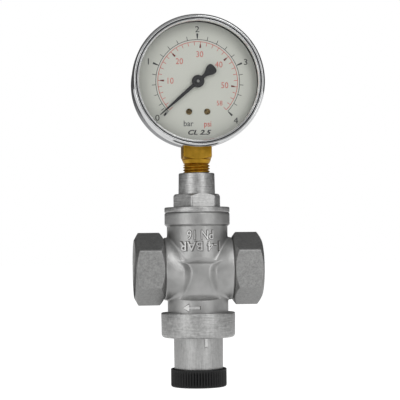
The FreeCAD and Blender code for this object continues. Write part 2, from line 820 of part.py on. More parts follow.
def dial_screws():
    pieces = []
    for side in (-1, 1):
        x = side * dial_screw_x
        head_front = dial_front - dial_screw_head_height
        head = rod_y(dial_screw_head_radius, head_front, dial_front, x, dial_screw_z)
        shank = rod_y(dial_screw_radius, dial_front, plate_back - 0.1, x, dial_screw_z)
        slot = screw_slot(x, dial_screw_z, dial_screw_head_radius, head_front - 1, head_front + slot_depth)
        pieces.append(head.fuse(shank).cut(slot).removeSplitter())
    return Part.makeCompound(pieces)


def on_dial(radius, angle):
    # a point at so many degrees clockwise from straight down
    turn = math.radians(angle)
    return -radius * math.sin(turn), gauge_z - radius * math.cos(turn)


def stop_pin():
    x, z = on_dial(stop_pin_circle, stop_pin_angle)
    return rod_y(stop_pin_radius, dial_front - 1.9, dial_back, x, z)


# Gauge movement

def involute_angle(radius, base):
    slope = math.sqrt(max((radius / base) ** 2 - 1, 0))
    return slope - math.atan(slope)


def tooth_outline(teeth, first, count):
    # radius and angle points over so many involute teeth, angles going up
    pitch_radius = gear_module * teeth / 2
    base = pitch_radius * math.cos(math.radians(20))
    tip = pitch_radius + 0.85 * gear_module
    root = pitch_radius - 1.2 * gear_module
    half = math.pi / (2 * teeth) - tooth_thinning / pitch_radius + involute_angle(pitch_radius, base)
    low = max(base, root)
    radii = [root] + [low + (tip - low) * i / 4 for i in range(5)]
    if low == root:
        radii = radii[1:]
    points = []
    for k in range(count):
        middle = first + k * 2 * math.pi / teeth
        points += [(r, middle - half + involute_angle(r, base)) for r in radii]
        points += [(r, middle + half - involute_angle(r, base)) for r in reversed(radii)]
    return points


def sector_gear():
    pitch = 2 * math.pi / sector_full_teeth
    up = math.pi / 2
    first = up - (sector_teeth_after - 0.5) * pitch
    count = sector_teeth_after + sector_teeth_before
    teeth = tooth_outline(sector_full_teeth, first, count)
    inner = gear_module * sector_full_teeth / 2 - sector_rim
    start = teeth[0][1] - pitch / 2
    end = teeth[-1][1] + pitch / 2
    back = [(inner, end + (start - end) * i / 12) for i in range(13)]
    outline = [(r * math.cos(a), pivot_z + r * math.sin(a)) for r, a in teeth + back]
    y0 = sector_front
    y1 = sector_front + sector_thickness
    rim = prism_y(outline, y0, y1)
    arms = []
    for angle in (start + 1.5 * pitch, end - 1.5 * pitch):
        reach = inner + sector_rim / 2
        arms.append(bar_y(0, pivot_z, reach * math.cos(angle), pivot_z + reach * math.sin(angle),
                          sector_arm_width, y0, y1))
    arms.append(bar_y(0, pivot_z, tail_pin_x, tail_pin_z, tail_width, y0, y1))
    arms.append(rod_y(arbor_hub_radius + 1, y0, y1, 0, pivot_z))
    solid = rim.multiFuse(arms)
    solid = solid.cut(rod_y(arbor_hub_radius, y0 - 1, y1 + 1, 0, pivot_z))
    return solid.cut(rod_y(pin_radius, y0 - 1, y1 + 1, tail_pin_x, tail_pin_z)).removeSplitter()


def sector_arbor():
    shaft = rod_y(arbor_radius, plate_front, rear_plate_back, 0, pivot_z)
    hub = rod_y(arbor_hub_radius, plate_back + free_gap, rear_plate_front - free_gap, 0, pivot_z)
    return shaft.fuse(hub).removeSplitter()


def tail_pin():
    return rod_y(pin_radius, link_front - 0.2, sector_front + sector_thickness, tail_pin_x, tail_pin_z)


def link():
    y0 = link_front
    y1 = link_front + link_thickness
    bar = bar_y(tail_pin_x, tail_pin_z, tip_pin_x, tip_pin_z, link_width, y0, y1)
    bar = bar.fuse(rod_y(pin_radius + open_pin_gap + 0.6, y0, y1, tip_pin_x, tip_pin_z))
    bar = bar.cut(rod_y(pin_radius + run_gap, y0 - 1, y1 + 1, tail_pin_x, tail_pin_z))
    return bar.cut(rod_y(pin_radius + open_pin_gap, y0 - 1, y1 + 1, tip_pin_x, tip_pin_z))


def tube_face(half_section, half_width):
    # the flat-sided cross-section, standing on the +X side of the gauge axis
    middle = tube_front + tube_width / 2
    flat = half_width - half_section
    x = tube_mean_radius
    y_out = middle - half_width
    y_far = middle + half_width
    left = Part.Arc(V(x - half_section, middle - flat, gauge_z), V(x, y_out, gauge_z),
                    V(x + half_section, middle - flat, gauge_z)).toShape()
    right = Part.Arc(V(x + half_section, middle + flat, gauge_z), V(x, y_far, gauge_z),
                     V(x - half_section, middle + flat, gauge_z)).toShape()
    near = middle - flat
    far = middle + flat
    outer_side = Part.makeLine(V(x + half_section, near, gauge_z), V(x + half_section, far, gauge_z))
    inner_side = Part.makeLine(V(x - half_section, far, gauge_z), V(x - half_section, near, gauge_z))
    return Part.Face(Part.Wire([left, outer_side, right, inner_side]))


def tube_body(half_section, half_width, start=tube_start_angle, sweep=tube_sweep):
    face = tube_face(half_section, half_width)
    centre = V(0, 0, gauge_z)
    face.rotate(centre, V(0, 1, 0), -start)
    return face.revolve(centre, V(0, 1, 0), sweep)


def bourdon_tube():
    outer = tube_body(tube_section / 2, tube_width / 2)
    inner = tube_body(tube_section / 2 - tube_wall, tube_width / 2 - tube_wall)
    return outer.cut(inner)


def tube_end_piece():
    end = tube_start_angle - tube_sweep
    cap = tube_body(tube_section / 2, tube_width / 2, end, tube_cap_sweep)
    middle = math.radians(end - tube_cap_sweep / 2)
    x = tube_mean_radius * math.cos(middle)
    z = gauge_z + tube_mean_radius * math.sin(middle)
    half = tip_arm_thickness / 2
    arm = bar_y(tip_pin_x, tip_pin_z, x, z, link_width + 0.2, -half, half)
    solid = cap.fuse(arm)
    return solid.cut(rod_y(pin_radius, -2, 2, tip_pin_x, tip_pin_z)).removeSplitter()


def tip_pin():
    return rod_y(pin_radius, link_front - 0.2, tip_arm_thickness / 2, tip_pin_x, tip_pin_z)


def movement_plate_outline(half_width, low, y0, y1):
    top = gauge_z + movement_top
    cut = 2.0
    outline = [
        (-half_width, low), (half_width, low), (half_width, top - cut), (half_width - cut, top),
        (-half_width + cut, top), (-half_width, top - cut)]
    plate = prism_y(outline, y0, y1)
    for x, z in pillar_places:
        plate = plate.cut(rod_y(pillar_radius * 0.55, y0 - 10, y1 + 10, x, z))
    plate = plate.cut(rod_y(arbor_radius + run_gap, y0 - 1, y1 + 1, 0, pivot_z))
    return plate.cut(rod_y(pinion_shaft_radius + run_gap, y0 - 1, y1 + 1, 0, gauge_z))


def movement_front_plate():
    plate = movement_plate_outline(movement_front_half_width, movement_screw_z + 2, plate_front, plate_back)
    bosses = []
    for side in (-1, 1):
        bosses.append(rod_y(1.7, dial_back, plate_front, side * dial_screw_x, dial_screw_z))
    plate = plate.multiFuse(bosses)
    for side in (-1, 1):
        x = side * dial_screw_x
        plate = plate.cut(rod_y(dial_screw_radius, dial_back - 1, plate_back + 1, x, dial_screw_z))
    return plate.removeSplitter()


def movement_rear_plate():
    low = block_top_z + 0.3
    plate = movement_plate_outline(movement_half_width, low, rear_plate_front, rear_plate_back)
    for side in (-1, 1):
        plate = plate.cut(rod_y(movement_screw_radius, 0, 4, side * movement_screw_x, movement_screw_z))
    return plate.cut(rod_y(0.5, rear_plate_front - 1, rear_plate_back + 1, hairspring_stud_x, gauge_z))


def movement_screws():
    pieces = []
    for side in (-1, 1):
        x = side * movement_screw_x
        head_front = rear_plate_front - movement_screw_head_height
        head = rod_y(movement_screw_head_radius, head_front, rear_plate_front, x, movement_screw_z)
        shank = rod_y(movement_screw_radius, rear_plate_front, movement_screw_end, x, movement_screw_z)
        slot_end = head_front + slot_depth
        slot = screw_slot(x, movement_screw_z, movement_screw_head_radius, head_front - 1, slot_end)
        pieces.append(head.fuse(shank).cut(slot).removeSplitter())
    return Part.makeCompound(pieces)


def movement_pillars():
    pieces = []
    for x, z in pillar_places:
        post = rod_y(pillar_radius, plate_back, rear_plate_front, x, z)
        rivets = rod_y(pillar_radius * 0.55, plate_front, rear_plate_back, x, z)
        pieces.append(post.fuse(rivets).removeSplitter())
    return Part.makeCompound(pieces)


def pinion_shaft():
    shaft = rod_y(pinion_shaft_radius, pinion_front, rear_plate_back, 0, gauge_z)
    pitch = 2 * math.pi / pinion_teeth
    outline = tooth_outline(pinion_teeth, -math.pi / 2, pinion_teeth)
    corners = [(r * math.cos(a), gauge_z + r * math.sin(a)) for r, a in outline]
    front = sector_front - 0.8
    gear = prism_y(corners, front, front + 2.4)
    collet = rod_y(hairspring_inner - 0.05, hairspring_front - 0.2, rear_plate_front - 0.2, 0, gauge_z)
    return shaft.multiFuse([gear, collet]).removeSplitter()


def hairspring():
    steps = int(hairspring_turns * 24)
    growth = (hairspring_outer - hairspring_inner - hairspring_wire) / (2 * math.pi * hairspring_turns)
    inner = []
    outer = []
    for i in range(steps + 1):
        angle = 2 * math.pi * hairspring_turns * i / steps
        radius = hairspring_inner + 0.05 + growth * angle
        turn = angle - 2 * math.pi * hairspring_turns
        inner.append(V(radius * math.cos(turn), hairspring_front, gauge_z + radius * math.sin(turn)))
        far = radius + hairspring_wire
        outer.append(V(far * math.cos(turn), hairspring_front, gauge_z + far * math.sin(turn)))
    inside = Part.BSplineCurve()
    inside.interpolate(inner)
    outside = Part.BSplineCurve()
    outside.interpolate(outer)
    edges = [
        inside.toShape(), Part.makeLine(inner[-1], outer[-1]), outside.toShape(),
        Part.makeLine(outer[0], inner[0])]
    face = Part.Face(Part.Wire(Part.__sortEdges__(edges)))
    return face.extrude(V(0, hairspring_width, 0))


def hairspring_stud():
    return rod_y(0.5, hairspring_front - 0.1, rear_plate_back, hairspring_stud_x, gauge_z)


def pointer():
    # drawn pointing along +X, then swung to its place
    root = pointer_root_width / 2
    tip = pointer_tip_width / 2
    tail = pointer_tail_width / 2
    outline = [
        (0, root), (pointer_length - 1, tip), (pointer_length, 0), (pointer_length - 1, -tip), (0, -root),
        (-4.6, -root), (-pointer_tail + 2.2, -tail * 0.78), (-pointer_tail + 0.5, -tail),
        (-pointer_tail, -tail + 0.7), (-pointer_tail, tail - 0.7), (-pointer_tail + 0.5, tail),
        (-pointer_tail + 2.2, tail * 0.78), (-4.6, root)]
    back = pointer_front + pointer_thickness
    moved = [(x, gauge_z + z) for x, z in outline]
    solid = prism_y(moved, pointer_front, back)
    solid = solid.fuse(rod_y(pointer_ring_radius, pointer_front, back, 0, gauge_z))
    solid = solid.cut(rod_y(1.0, pointer_front - 1, back + 1, 0, gauge_z)).removeSplitter()
    solid.rotate(V(0, 0, gauge_z), V(0, 1, 0), 90 + pointer_angle)
    return solid


def pointer_hub():
    disc_front = pointer_front - 0.4
    solid = rod_y(1.0, pointer_front - 0.8, pointer_front + pointer_thickness + 0.6, 0, gauge_z)
    solid = solid.fuse(rod_y(pointer_ring_radius - 0.4, disc_front, pointer_front, 0, gauge_z))
    solid = solid.cut(rod_y(pinion_shaft_radius, pinion_front, pointer_front + 3, 0, gauge_z))
    return solid.removeSplitter()


pieces = [
    valve_body, seat_ring, gauge_port_plug, plug_o_ring, valve_spindle, balance_o_ring, valve_disc,
    valve_seal, seal_nut, piston, piston_o_ring, spindle_nut, spring_bonnet, bonnet_gasket,
    regulating_spring, spring_plate, adjusting_screw, thrust_washer, adjusting_knob, knob_screw,
    gauge_sealing_washer, gauge_socket, gauge_case, case_screws, bezel_ring, gauge_window,
    window_gasket, dial_plate, dial_screws, stop_pin, sector_gear, sector_arbor, tail_pin, link,
    bourdon_tube, tube_end_piece, tip_pin, movement_front_plate, movement_rear_plate,
    movement_screws, movement_pillars, pinion_shaft, hairspring, hairspring_stud, pointer, pointer_hub]

for make in pieces:
    save(make.__name__, make())
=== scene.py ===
import math

import bmesh
import bpy
import numpy as np
from mathutils import Matrix, Vector


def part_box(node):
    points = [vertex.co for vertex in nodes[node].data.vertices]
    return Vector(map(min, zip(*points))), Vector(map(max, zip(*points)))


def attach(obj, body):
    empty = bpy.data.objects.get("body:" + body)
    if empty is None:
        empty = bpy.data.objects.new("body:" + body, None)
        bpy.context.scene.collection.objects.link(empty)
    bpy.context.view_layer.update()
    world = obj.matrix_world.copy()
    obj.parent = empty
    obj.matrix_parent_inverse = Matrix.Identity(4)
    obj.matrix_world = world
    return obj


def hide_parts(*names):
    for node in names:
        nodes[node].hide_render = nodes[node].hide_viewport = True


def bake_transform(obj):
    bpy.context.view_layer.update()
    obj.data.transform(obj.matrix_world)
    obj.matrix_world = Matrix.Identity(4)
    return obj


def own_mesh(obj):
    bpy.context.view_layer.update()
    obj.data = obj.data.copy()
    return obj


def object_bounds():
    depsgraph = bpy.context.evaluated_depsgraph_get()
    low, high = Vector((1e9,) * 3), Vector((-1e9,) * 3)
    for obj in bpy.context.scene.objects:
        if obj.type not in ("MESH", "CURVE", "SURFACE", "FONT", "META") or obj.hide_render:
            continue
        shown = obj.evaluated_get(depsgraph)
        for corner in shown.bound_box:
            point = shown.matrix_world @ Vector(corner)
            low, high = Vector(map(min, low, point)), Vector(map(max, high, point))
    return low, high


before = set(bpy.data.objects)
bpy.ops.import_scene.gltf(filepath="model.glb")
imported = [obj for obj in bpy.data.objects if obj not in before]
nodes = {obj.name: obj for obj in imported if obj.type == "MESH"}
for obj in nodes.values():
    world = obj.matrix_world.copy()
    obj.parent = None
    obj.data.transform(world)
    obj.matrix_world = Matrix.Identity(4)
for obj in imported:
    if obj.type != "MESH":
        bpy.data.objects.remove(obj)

# Pressure reducing valve with a dial gauge. Shapes are worked out in millimetres in the CAD's own frame,
# +X towards the inlet and the dial facing -Y, and go to metres where a mesh is made.
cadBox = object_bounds()
scene = bpy.context.scene
millimetre = 0.001
print("frame loaded,", len(nodes), "nodes")


def nodeBox(name):
    # the lowest and highest corner of a CAD node, in millimetres
    low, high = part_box(name)
    return np.array(low) / millimetre, np.array(high) / millimetre


bodyLow, bodyHigh = nodeBox("valve_body")
plugHigh = nodeBox("gauge_port_plug")[1]
bonnetLow, bonnetHigh = nodeBox("spring_bonnet")
knobLow, knobHigh = nodeBox("adjusting_knob")
bezelLow, bezelHigh = nodeBox("bezel_ring")
caseLow, caseHigh = nodeBox("gauge_case")
dialLow, dialHigh = nodeBox("dial_plate")
glassLow, glassHigh = nodeBox("gauge_window")
pointerLow, pointerHigh = nodeBox("pointer")
screwLow, screwHigh = nodeBox("dial_screws")
socketLow = nodeBox("gauge_socket")[0]
gaugeZ = (bezelLow[2] + bezelHigh[2]) / 2
gaugeCentre = (0, 0, gaugeZ)


# numbers and curves used by several pieces

def ringAngles(count):
    # equal steps that go once round
    return np.linspace(0, 2 * np.pi, count, endpoint=False)


def upright(radius, angle, z):
    # x and y are the radius times the angle's cosine and sine; z runs along the upright axis
    radius, angle, z = np.broadcast_arrays(radius, angle, z)
    return np.stack([radius * np.cos(angle), radius * np.sin(angle), z], -1)


def fromAxis(corners):
    # the distance from the upright axis
    return np.hypot(corners[..., 0], corners[..., 1])


def smooth(value, start, end):
    # 0 before start, 1 after end, and an even S between them
    t = np.clip((value - start) / (end - start), 0, 1)
    return t * t * (3 - 2 * t)


def smoothMax(a, b, width):
    # the larger of two fields, rounded over by the width where they cross
    h = np.clip(0.5 + 0.5 * (a - b) / width, 0, 1)
    return b * (1 - h) + a * h + width * h * (1 - h)


def smoothMin(a, b, width):
    # the smaller of two fields, rounded over the same way
    return -smoothMax(-a, -b, width)


def rounded(corners, steps=6):
    # corners are radius, place and rounding; each rounding becomes an arc that touches both sides
    points = []
    spots = np.array([c[:2] for c in corners], float)
    for i, corner in enumerate(corners):
        here = spots[i]
        radius = corner[2] if len(corner) > 2 else 0
        if not radius or i in (0, len(corners) - 1):
            points.append(here)
            continue
        toLast = spots[i - 1] - here
        toNext = spots[i + 1] - here
        toLast /= np.linalg.norm(toLast)
        toNext /= np.linalg.norm(toNext)
        half = math.acos(np.clip(toLast @ toNext, -1, 1)) / 2
        middle = (toLast + toNext) / np.linalg.norm(toLast + toNext)
        centre = here + middle * radius / math.sin(half)
        reach = radius / math.tan(half)
        first = here + toLast * reach - centre
        last = here + toNext * reach - centre
        for t in np.linspace(0, 1, steps):
            spoke = first * (1 - t) + last * t
            points.append(centre + spoke / np.linalg.norm(spoke) * radius)
    return np.array(points)


# surfaces

def turned(profile, axis="z", columns=160, centre=(0, 0, 0)):
    # each profile point, a radius and a place along the axis, goes once round the axis
    angle = ringAngles(columns)
    radius, along = np.asarray(profile, float).T
    across = radius[:, None] * np.cos(angle)
    up = radius[:, None] * np.sin(angle)
    run = np.repeat(along[:, None], columns, 1)
    order = {"z": (across, up, run), "x": (run, across, up), "y": (up, run, across)}[axis]
    return np.stack(order, -1) + np.array(centre)


def roundGauge(profile, columns):
    # a profile turned about the gauge's own axis
    return turned(profile, "y", columns, gaugeCentre)


def regular(angle, sides, across, power, turn=0.0):
    # half the width across flats over the sum of the flats' cosines raised to a high power, which rounds the corners
    flats = np.cos(angle[:, None] - np.radians(turn + 360 / sides * np.arange(sides))[None])
    return across / 2 / (np.clip(flats, 0, 1) ** power).sum(1) ** (1 / power)


def threaded(major, depth, pitch, start, end, fade, columns, samples):
    # radius = major less the depth times a flat-topped saw of (place / pitch - turn), faded out at both ends
    rows = int(abs(end - start) / pitch * samples) + 2
    along = np.linspace(start, end, rows)
    angle = ringAngles(columns)
    phase = (along[:, None] / pitch - angle / (2 * np.pi)) % 1
    saw = np.clip(np.abs(phase - 0.5) * 2.6 - 0.3, 0, 1)
    low, high = min(start, end), max(start, end)
    window = smooth(along, low, low + fade) * (1 - smooth(along, high - fade, high))
    radius = major - depth * (1 - (1 - saw) * window[:, None])
    return radius, along


def slab(outline, front, back):
    # a flat outline of x, z points made into a closed plate between two depths
    flat = np.asarray(outline, float)
    count = len(flat)
    x, z = flat.T
    front3 = np.stack([x, np.full(count, front), z], -1)
    back3 = np.stack([x, np.full(count, back), z], -1)
    index = np.arange(count)
    after = np.roll(index, -1)
    sides = np.stack([index, after, after + count, index + count], -1).tolist()
    faces = [index[::-1].tolist(), (index + count).tolist()] + sides
    return np.vstack([front3, back3]), faces


def gridFaces(rows, columns, wrapRows, wrapColumns):
    # a face for each cell of the grid, going on to the first row or column where that way wraps
    index = np.arange(rows * columns).reshape(rows, columns)
    if wrapRows:
        index = np.vstack([index, index[:1]])
    if wrapColumns:
        index = np.hstack([index, index[:, :1]])
    return np.stack([index[:-1, :-1], index[1:, :-1], index[1:, 1:], index[:-1, 1:]], -1).reshape(-1, 4)


def tube(path, radius, around):
    # a circle carried along the path, standing square to it at every point
    path = np.asarray(path, float)
    ahead = np.gradient(path, axis=0)
    ahead /= np.linalg.norm(ahead, axis=1)[:, None]
    side = np.cross(ahead, np.array([0.0, 0.0, 1.0]))
    side /= np.linalg.norm(side, axis=1)[:, None]
    up = np.cross(side, ahead)
    turn = ringAngles(around)
    ringOut = np.cos(turn)[None, :, None] * side[:, None] + np.sin(turn)[None, :, None] * up[:, None]
    body = path[:, None] + radius * ringOut
    ends = [np.repeat(path[:1, None], around, 1), body, np.repeat(path[-1:, None], around, 1)]
    return np.concatenate(ends)


def merged(mesh, distance, sharp, made):
    # corners nearer than the distance become one; a mesh made here also loses empty faces and faces outward
    shape = bmesh.new()
    shape.from_mesh(mesh)
    bmesh.ops.remove_doubles(shape, verts=shape.verts, dist=distance)
    if made:
        bmesh.ops.dissolve_degenerate(shape, edges=shape.edges, dist=1e-8)
        bmesh.ops.recalc_face_normals(shape, faces=shape.faces)
    shape.to_mesh(mesh)
    shape.free()
    mesh.shade_smooth()
    mesh.set_sharp_from_angle(angle=math.radians(sharp))


def place(name, mesh, finish, body, replaced=()):
    # the piece rides on its body, or on none where no body is given
    mesh.materials.clear()
    mesh.materials.append(finish)
    piece = bpy.data.objects.new(name, mesh)
    scene.collection.objects.link(piece)
    if body:
        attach(piece, body)
    if replaced:
        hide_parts(*replaced)
    return piece


def meshPiece(name, parts, finish, replaced=(), body="valve", sharp=32):
    # each part is a grid closed round its columns, a grid with its own two wraps, or a plate's points and faces
    points, faces, start = [], [], 0
    for part in parts:
        if isinstance(part, np.ndarray):
            part = (part, False, True)
        if len(part) == 3:
            flat = part[0].reshape(-1, 3)
            partFaces = gridFaces(*part[0].shape[:2], *part[1:]).tolist()
        else:
            flat, partFaces = np.asarray(part[0], float), part[1]
        faces += [[i + start for i in face] for face in partFaces]
        points.append(flat)
        start += len(flat)
    mesh = bpy.data.meshes.new(name)
    mesh.from_pydata((np.vstack(points) * millimetre).tolist(), [], faces)
    merged(mesh, 2e-7, sharp, True)
    return place(name, mesh, finish, body, replaced)


def carried(name, node, keep, finish, body="valve"):
    # the triangles of a CAD node that keep() picks, copied and merged; keep() sees their corners in millimetres
    source = nodes[node].data
    source.calc_loop_triangles()
    corner = np.zeros(len(source.loop_triangles) * 3, np.int32)
    source.loop_triangles.foreach_get("vertices", corner)
    spot = np.zeros(len(source.vertices) * 3, np.float32)
    source.vertices.foreach_get("co", spot)
    spot = spot.reshape(-1, 3)
    triangles = corner.reshape(-1, 3)
    chosen = triangles[keep(spot[triangles] / millimetre)]
    mesh = bpy.data.meshes.new(name)
    mesh.from_pydata(spot[chosen].reshape(-1, 3).tolist(), [], np.arange(chosen.size).reshape(-1, 3).tolist())
    merged(mesh, 2e-6, 25, False)
    return place(name, mesh, finish, body, [node])


def lettering(word, height, narrow=1.0, depth=0.1, slant=0.0, weight=0.0, width=None):
    # a word as a plate round the origin: x along it, y up it, z its depth, in millimetres; a width overrules
    # narrow. A weight thickens the strokes, but any weight at all closes the gap inside a 4.
    curve = bpy.data.curves.new("word", "FONT")
    curve.body = word
    curve.align_x = "CENTER"
    curve.align_y = "CENTER"
    curve.shear = slant
    curve.offset = weight
    curve.extrude = 0.5
    curve.resolution_u = 3
    holder = bpy.data.objects.new("word", curve)
    scene.collection.objects.link(holder)
    bpy.context.view_layer.update()
    mesh = bpy.data.meshes.new_from_object(holder.evaluated_get(bpy.context.evaluated_depsgraph_get()))
    points = np.zeros(len(mesh.vertices) * 3, np.float32)
    mesh.vertices.foreach_get("co", points)
    points = points.reshape(-1, 3)
    faces = [list(p.vertices) for p in mesh.polygons]
    bpy.data.objects.remove(holder)
    bpy.data.curves.remove(curve)
    bpy.data.meshes.remove(mesh)
    low, high = points.min(0), points.max(0)
    points = points - (low + high) / 2
    grow = height / (high[1] - low[1])
    across = width / (high[0] - low[0]) if width else grow * narrow
    return points * np.array([across, grow, depth]), faces


# finishes

def toLinear(code):
    # an sRGB hex colour as the linear values that Blender's sockets take
    channels = [int(code[i:i + 2], 16) / 255 for i in (1, 3, 5)]
    return tuple(c / 12.92 if c <= 0.04045 else ((c + 0.055) / 1.055) ** 2.4 for c in channels) + (1.0,)


def addNode(tree, kind, inputs=None, **settings):
    # a node with its own settings; an input is a value or the output that is linked to it
    node = tree.nodes.new(kind)
    for name, value in settings.items():
        setattr(node, name, value)
    for name, value in (inputs or {}).items():
        if isinstance(value, bpy.types.NodeSocket):
            tree.links.new(value, node.inputs[name])
        else:
            node.inputs[name].default_value = value
    return node


def newFinish(name, **shader):
    # a material with one Principled shader, and the Object coordinates its patterns are laid in
    finish = bpy.data.materials.new(name)
    finish.use_nodes = True
    tree = finish.node_tree
    tree.nodes.clear()
    surface = addNode(tree, "ShaderNodeBsdfPrincipled", shader)
    addNode(tree, "ShaderNodeOutputMaterial", {"Surface": surface.outputs[0]})
    where = addNode(tree, "ShaderNodeTexCoord").outputs["Object"]
    return finish, tree, surface, where


def perMillimetre(size):
    # the texture scale, in repeats for each metre, of a pattern whose real size is in millimetres
    return 1 / (size * millimetre)


def blendColours(tree, factor, first, second):
    # the first colour where the factor is 0, the second where it is 1
    mix = addNode(tree, "ShaderNodeMix", {"Factor": factor}, data_type="RGBA")
    mix.inputs[6].default_value = toLinear(first)
    mix.inputs[7].default_value = toLinear(second)
    return mix.outputs[2]


def spread(tree, value, low, high, fromLow=0.0, fromHigh=1.0):
    # low where the value is fromLow and high where it is fromHigh, straight in between and held beyond
    return addNode(tree, "ShaderNodeMapRange", {
        "Value": value, "From Min": fromLow, "From Max": fromHigh,
        "To Min": low, "To Max": high}).outputs["Result"]


def noise(tree, where, size, detail=2.0, rough=0.5, stretch=None):
    # clouds of the given size in millimetres, after the place is multiplied by the stretch
    if stretch is not None:
        where = addNode(tree, "ShaderNodeMapping", {"Vector": where, "Scale": stretch}).outputs[0]
    return addNode(tree, "ShaderNodeTexNoise", {
        "Vector": where, "Scale": perMillimetre(size), "Detail": detail, "Roughness": rough}).outputs["Fac"]


def bump(tree, surface, height, depth, strength, under=None):
    # relief of the given depth in millimetres, on top of another relief where one is given
    inputs = {"Height": height, "Distance": depth * millimetre, "Strength": strength}
    if under is not None:
        inputs["Normal"] = under
    normal = addNode(tree, "ShaderNodeBump", inputs).outputs["Normal"]
    tree.links.new(normal, surface.inputs["Normal"])
    return normal


def coat(tree, surface, tone, first, second, roughness):
    # the tone mixes the two colours, and the roughness is linked as it comes
    tree.links.new(blendColours(tree, tone, first, second), surface.inputs["Base Color"])
    tree.links.new(roughness, surface.inputs["Roughness"])


def blastedNickel():
    # hot-forged brass, shot blasted and then nickel plated: an even satin grey with a fine grain, soft
    # broad highlights and slightly darker clouds where the blasting went deeper.
    finish, tree, surface, where = newFinish("blastedNickelPlate", Metallic=1.0)
    cloud = noise(tree, where, 9.0, 2.0)
    grain = noise(tree, where, 0.75, 3.0, 0.6)  # real grit is 0.2 mm, drawn coarser so that it shows
    pits = addNode(tree, "ShaderNodeTexVoronoi", {
        "Vector": where, "Scale": perMillimetre(2.6), "Randomness": 1.0}).outputs["Distance"]
    tone = spread(tree, cloud, 0.0, 1.0, 0.3, 0.7)
    coat(tree, surface, tone, "#a3a3a2", "#c2c2c1", spread(tree, grain, 0.36, 0.50))
    first = bump(tree, surface, grain, 0.12, 0.8)
    bump(tree, surface, spread(tree, pits, 0.0, 1.0, 0.0, 0.12), 0.03, 0.35, first)
    return finish


def turnedNickel(name, stretch, light="#d2d2d1", dark="#979796", rough=(0.32, 0.48), depth=0.06):
    # brass turned on a lathe or milled, then nickel plated: fine tool lines that run the way the cutter went
    finish, tree, surface, where = newFinish(name, Metallic=1.0)
    lines = noise(tree, where, 1.0, 3.0, 0.65, stretch)  # real tool lines are 0.1 mm apart, drawn coarser
    stain = noise(tree, where, 1.6, 4.0, 0.75)
    worn = addNode(tree, "ShaderNodeMath", {0: lines, 1: stain}, operation="ADD").outputs[0]
    tone = spread(tree, worn, 0.0, 1.0, 0.72, 1.28)
    coat(tree, surface, tone, dark, light, spread(tree, worn, *rough, 0.6, 1.4))
    bump(tree, surface, lines, depth, 0.5)
    return finish


def bareBrass(name, base, dark, rough, stretch, depth=0.02):
    # brass or bronze left bare: warm yellow, tool lines, and a brown tarnish in soft patches
    finish, tree, surface, where = newFinish(name, Metallic=1.0)
    tarnish = noise(tree, where, 5.0, 4.0, 0.6)
    lines = noise(tree, where, 1.0, 3.0, 0.6, stretch)
    tone = spread(tree, tarnish, 0.0, 1.0, 0.35, 0.65)
    coat(tree, surface, tone, base, dark, spread(tree, lines, rough - 0.07, rough + 0.09))
    bump(tree, surface, lines, depth, 0.5)
    return finish


def plainSteel(name, base, dark, rough, grainSize=0.5, depth=0.01):
    # smooth steel: an even grey or mirror with slightly darker clouds and a grain too fine to see singly
    finish, tree, surface, where = newFinish(name, Metallic=1.0)
    grain = noise(tree, where, grainSize, 3.0, 0.6)
    cloud = spread(tree, noise(tree, where, 7.0, 2.0), 0, 1, 0.3, 0.7)
    coat(tree, surface, cloud, dark, base, spread(tree, grain, rough * 0.75, rough * 1.25))
    bump(tree, surface, grain, depth, 0.35)
    return finish


def dullFinish(name, ior, grain, cloud, colours, rough, depth, strength):
    # not a metal: the cloud mixes the two colours, and the grain sets the roughness and the relief
    finish, tree, surface, where = newFinish(name, Metallic=0.0, IOR=ior)
    fine = noise(tree, where, *grain)
    coat(tree, surface, noise(tree, where, *cloud), *colours, spread(tree, fine, *rough))
    bump(tree, surface, fine, depth, strength)
    return finish


def printedInk(name, base, light, rough=0.6):
    # screen-printed ink: flat colour, a little uneven where the film is thin
    finish, tree, surface, where = newFinish(name, Metallic=0.0, IOR=1.5)
    film = noise(tree, where, 1.2, 3.0, 0.6)
    tone = spread(tree, film, 0, 1, 0.35, 0.65)
    coat(tree, surface, tone, base, light, spread(tree, film, rough - 0.08, rough + 0.08))
    return finish


def windowPane():
    # clear instrument glass: seen through, with a mirror sheen that grows towards its edge
    finish = bpy.data.materials.new("clearInstrumentGlass")
    finish.use_nodes = True
    tree = finish.node_tree
    tree.nodes.clear()
    smear = noise(tree, addNode(tree, "ShaderNodeTexCoord").outputs["Object"], 18.0, 2.0)
    through = addNode(tree, "ShaderNodeBsdfTransparent", {"Color": toLinear("#ffffff")})
    sheen = addNode(tree, "ShaderNodeBsdfGlossy", {
        "Color": toLinear("#ffffff"), "Roughness": spread(tree, smear, 0.02, 0.06)})
    fresnel = addNode(tree, "ShaderNodeFresnel", {"IOR": 1.5}).outputs[0]
    inside = addNode(tree, "ShaderNodeNewGeometry").outputs["Backfacing"]  # a straight ray has no inner reflection
    outer = spread(tree, inside, 1.0, 0.0)
    share = addNode(tree, "ShaderNodeMath", {0: fresnel, 1: outer}, operation="MULTIPLY").outputs[0]
    mixed = addNode(tree, "ShaderNodeMixShader", {0: share, 1: through.outputs[0], 2: sheen.outputs[0]})
    addNode(tree, "ShaderNodeOutputMaterial", {"Surface": mixed.outputs[0]})
    return finish


ringLines = (0.12, 0.12, 3.2)   # tool lines round an upright part
pipeLines = (3.2, 0.12, 0.12)   # tool lines round the pipe axis
dialLines = (0.1, 4.0, 0.1)     # tool lines round the gauge's axis
flatGrain = (1.4, 1.4, 1.4)     # cast and milled faces with no clear direction

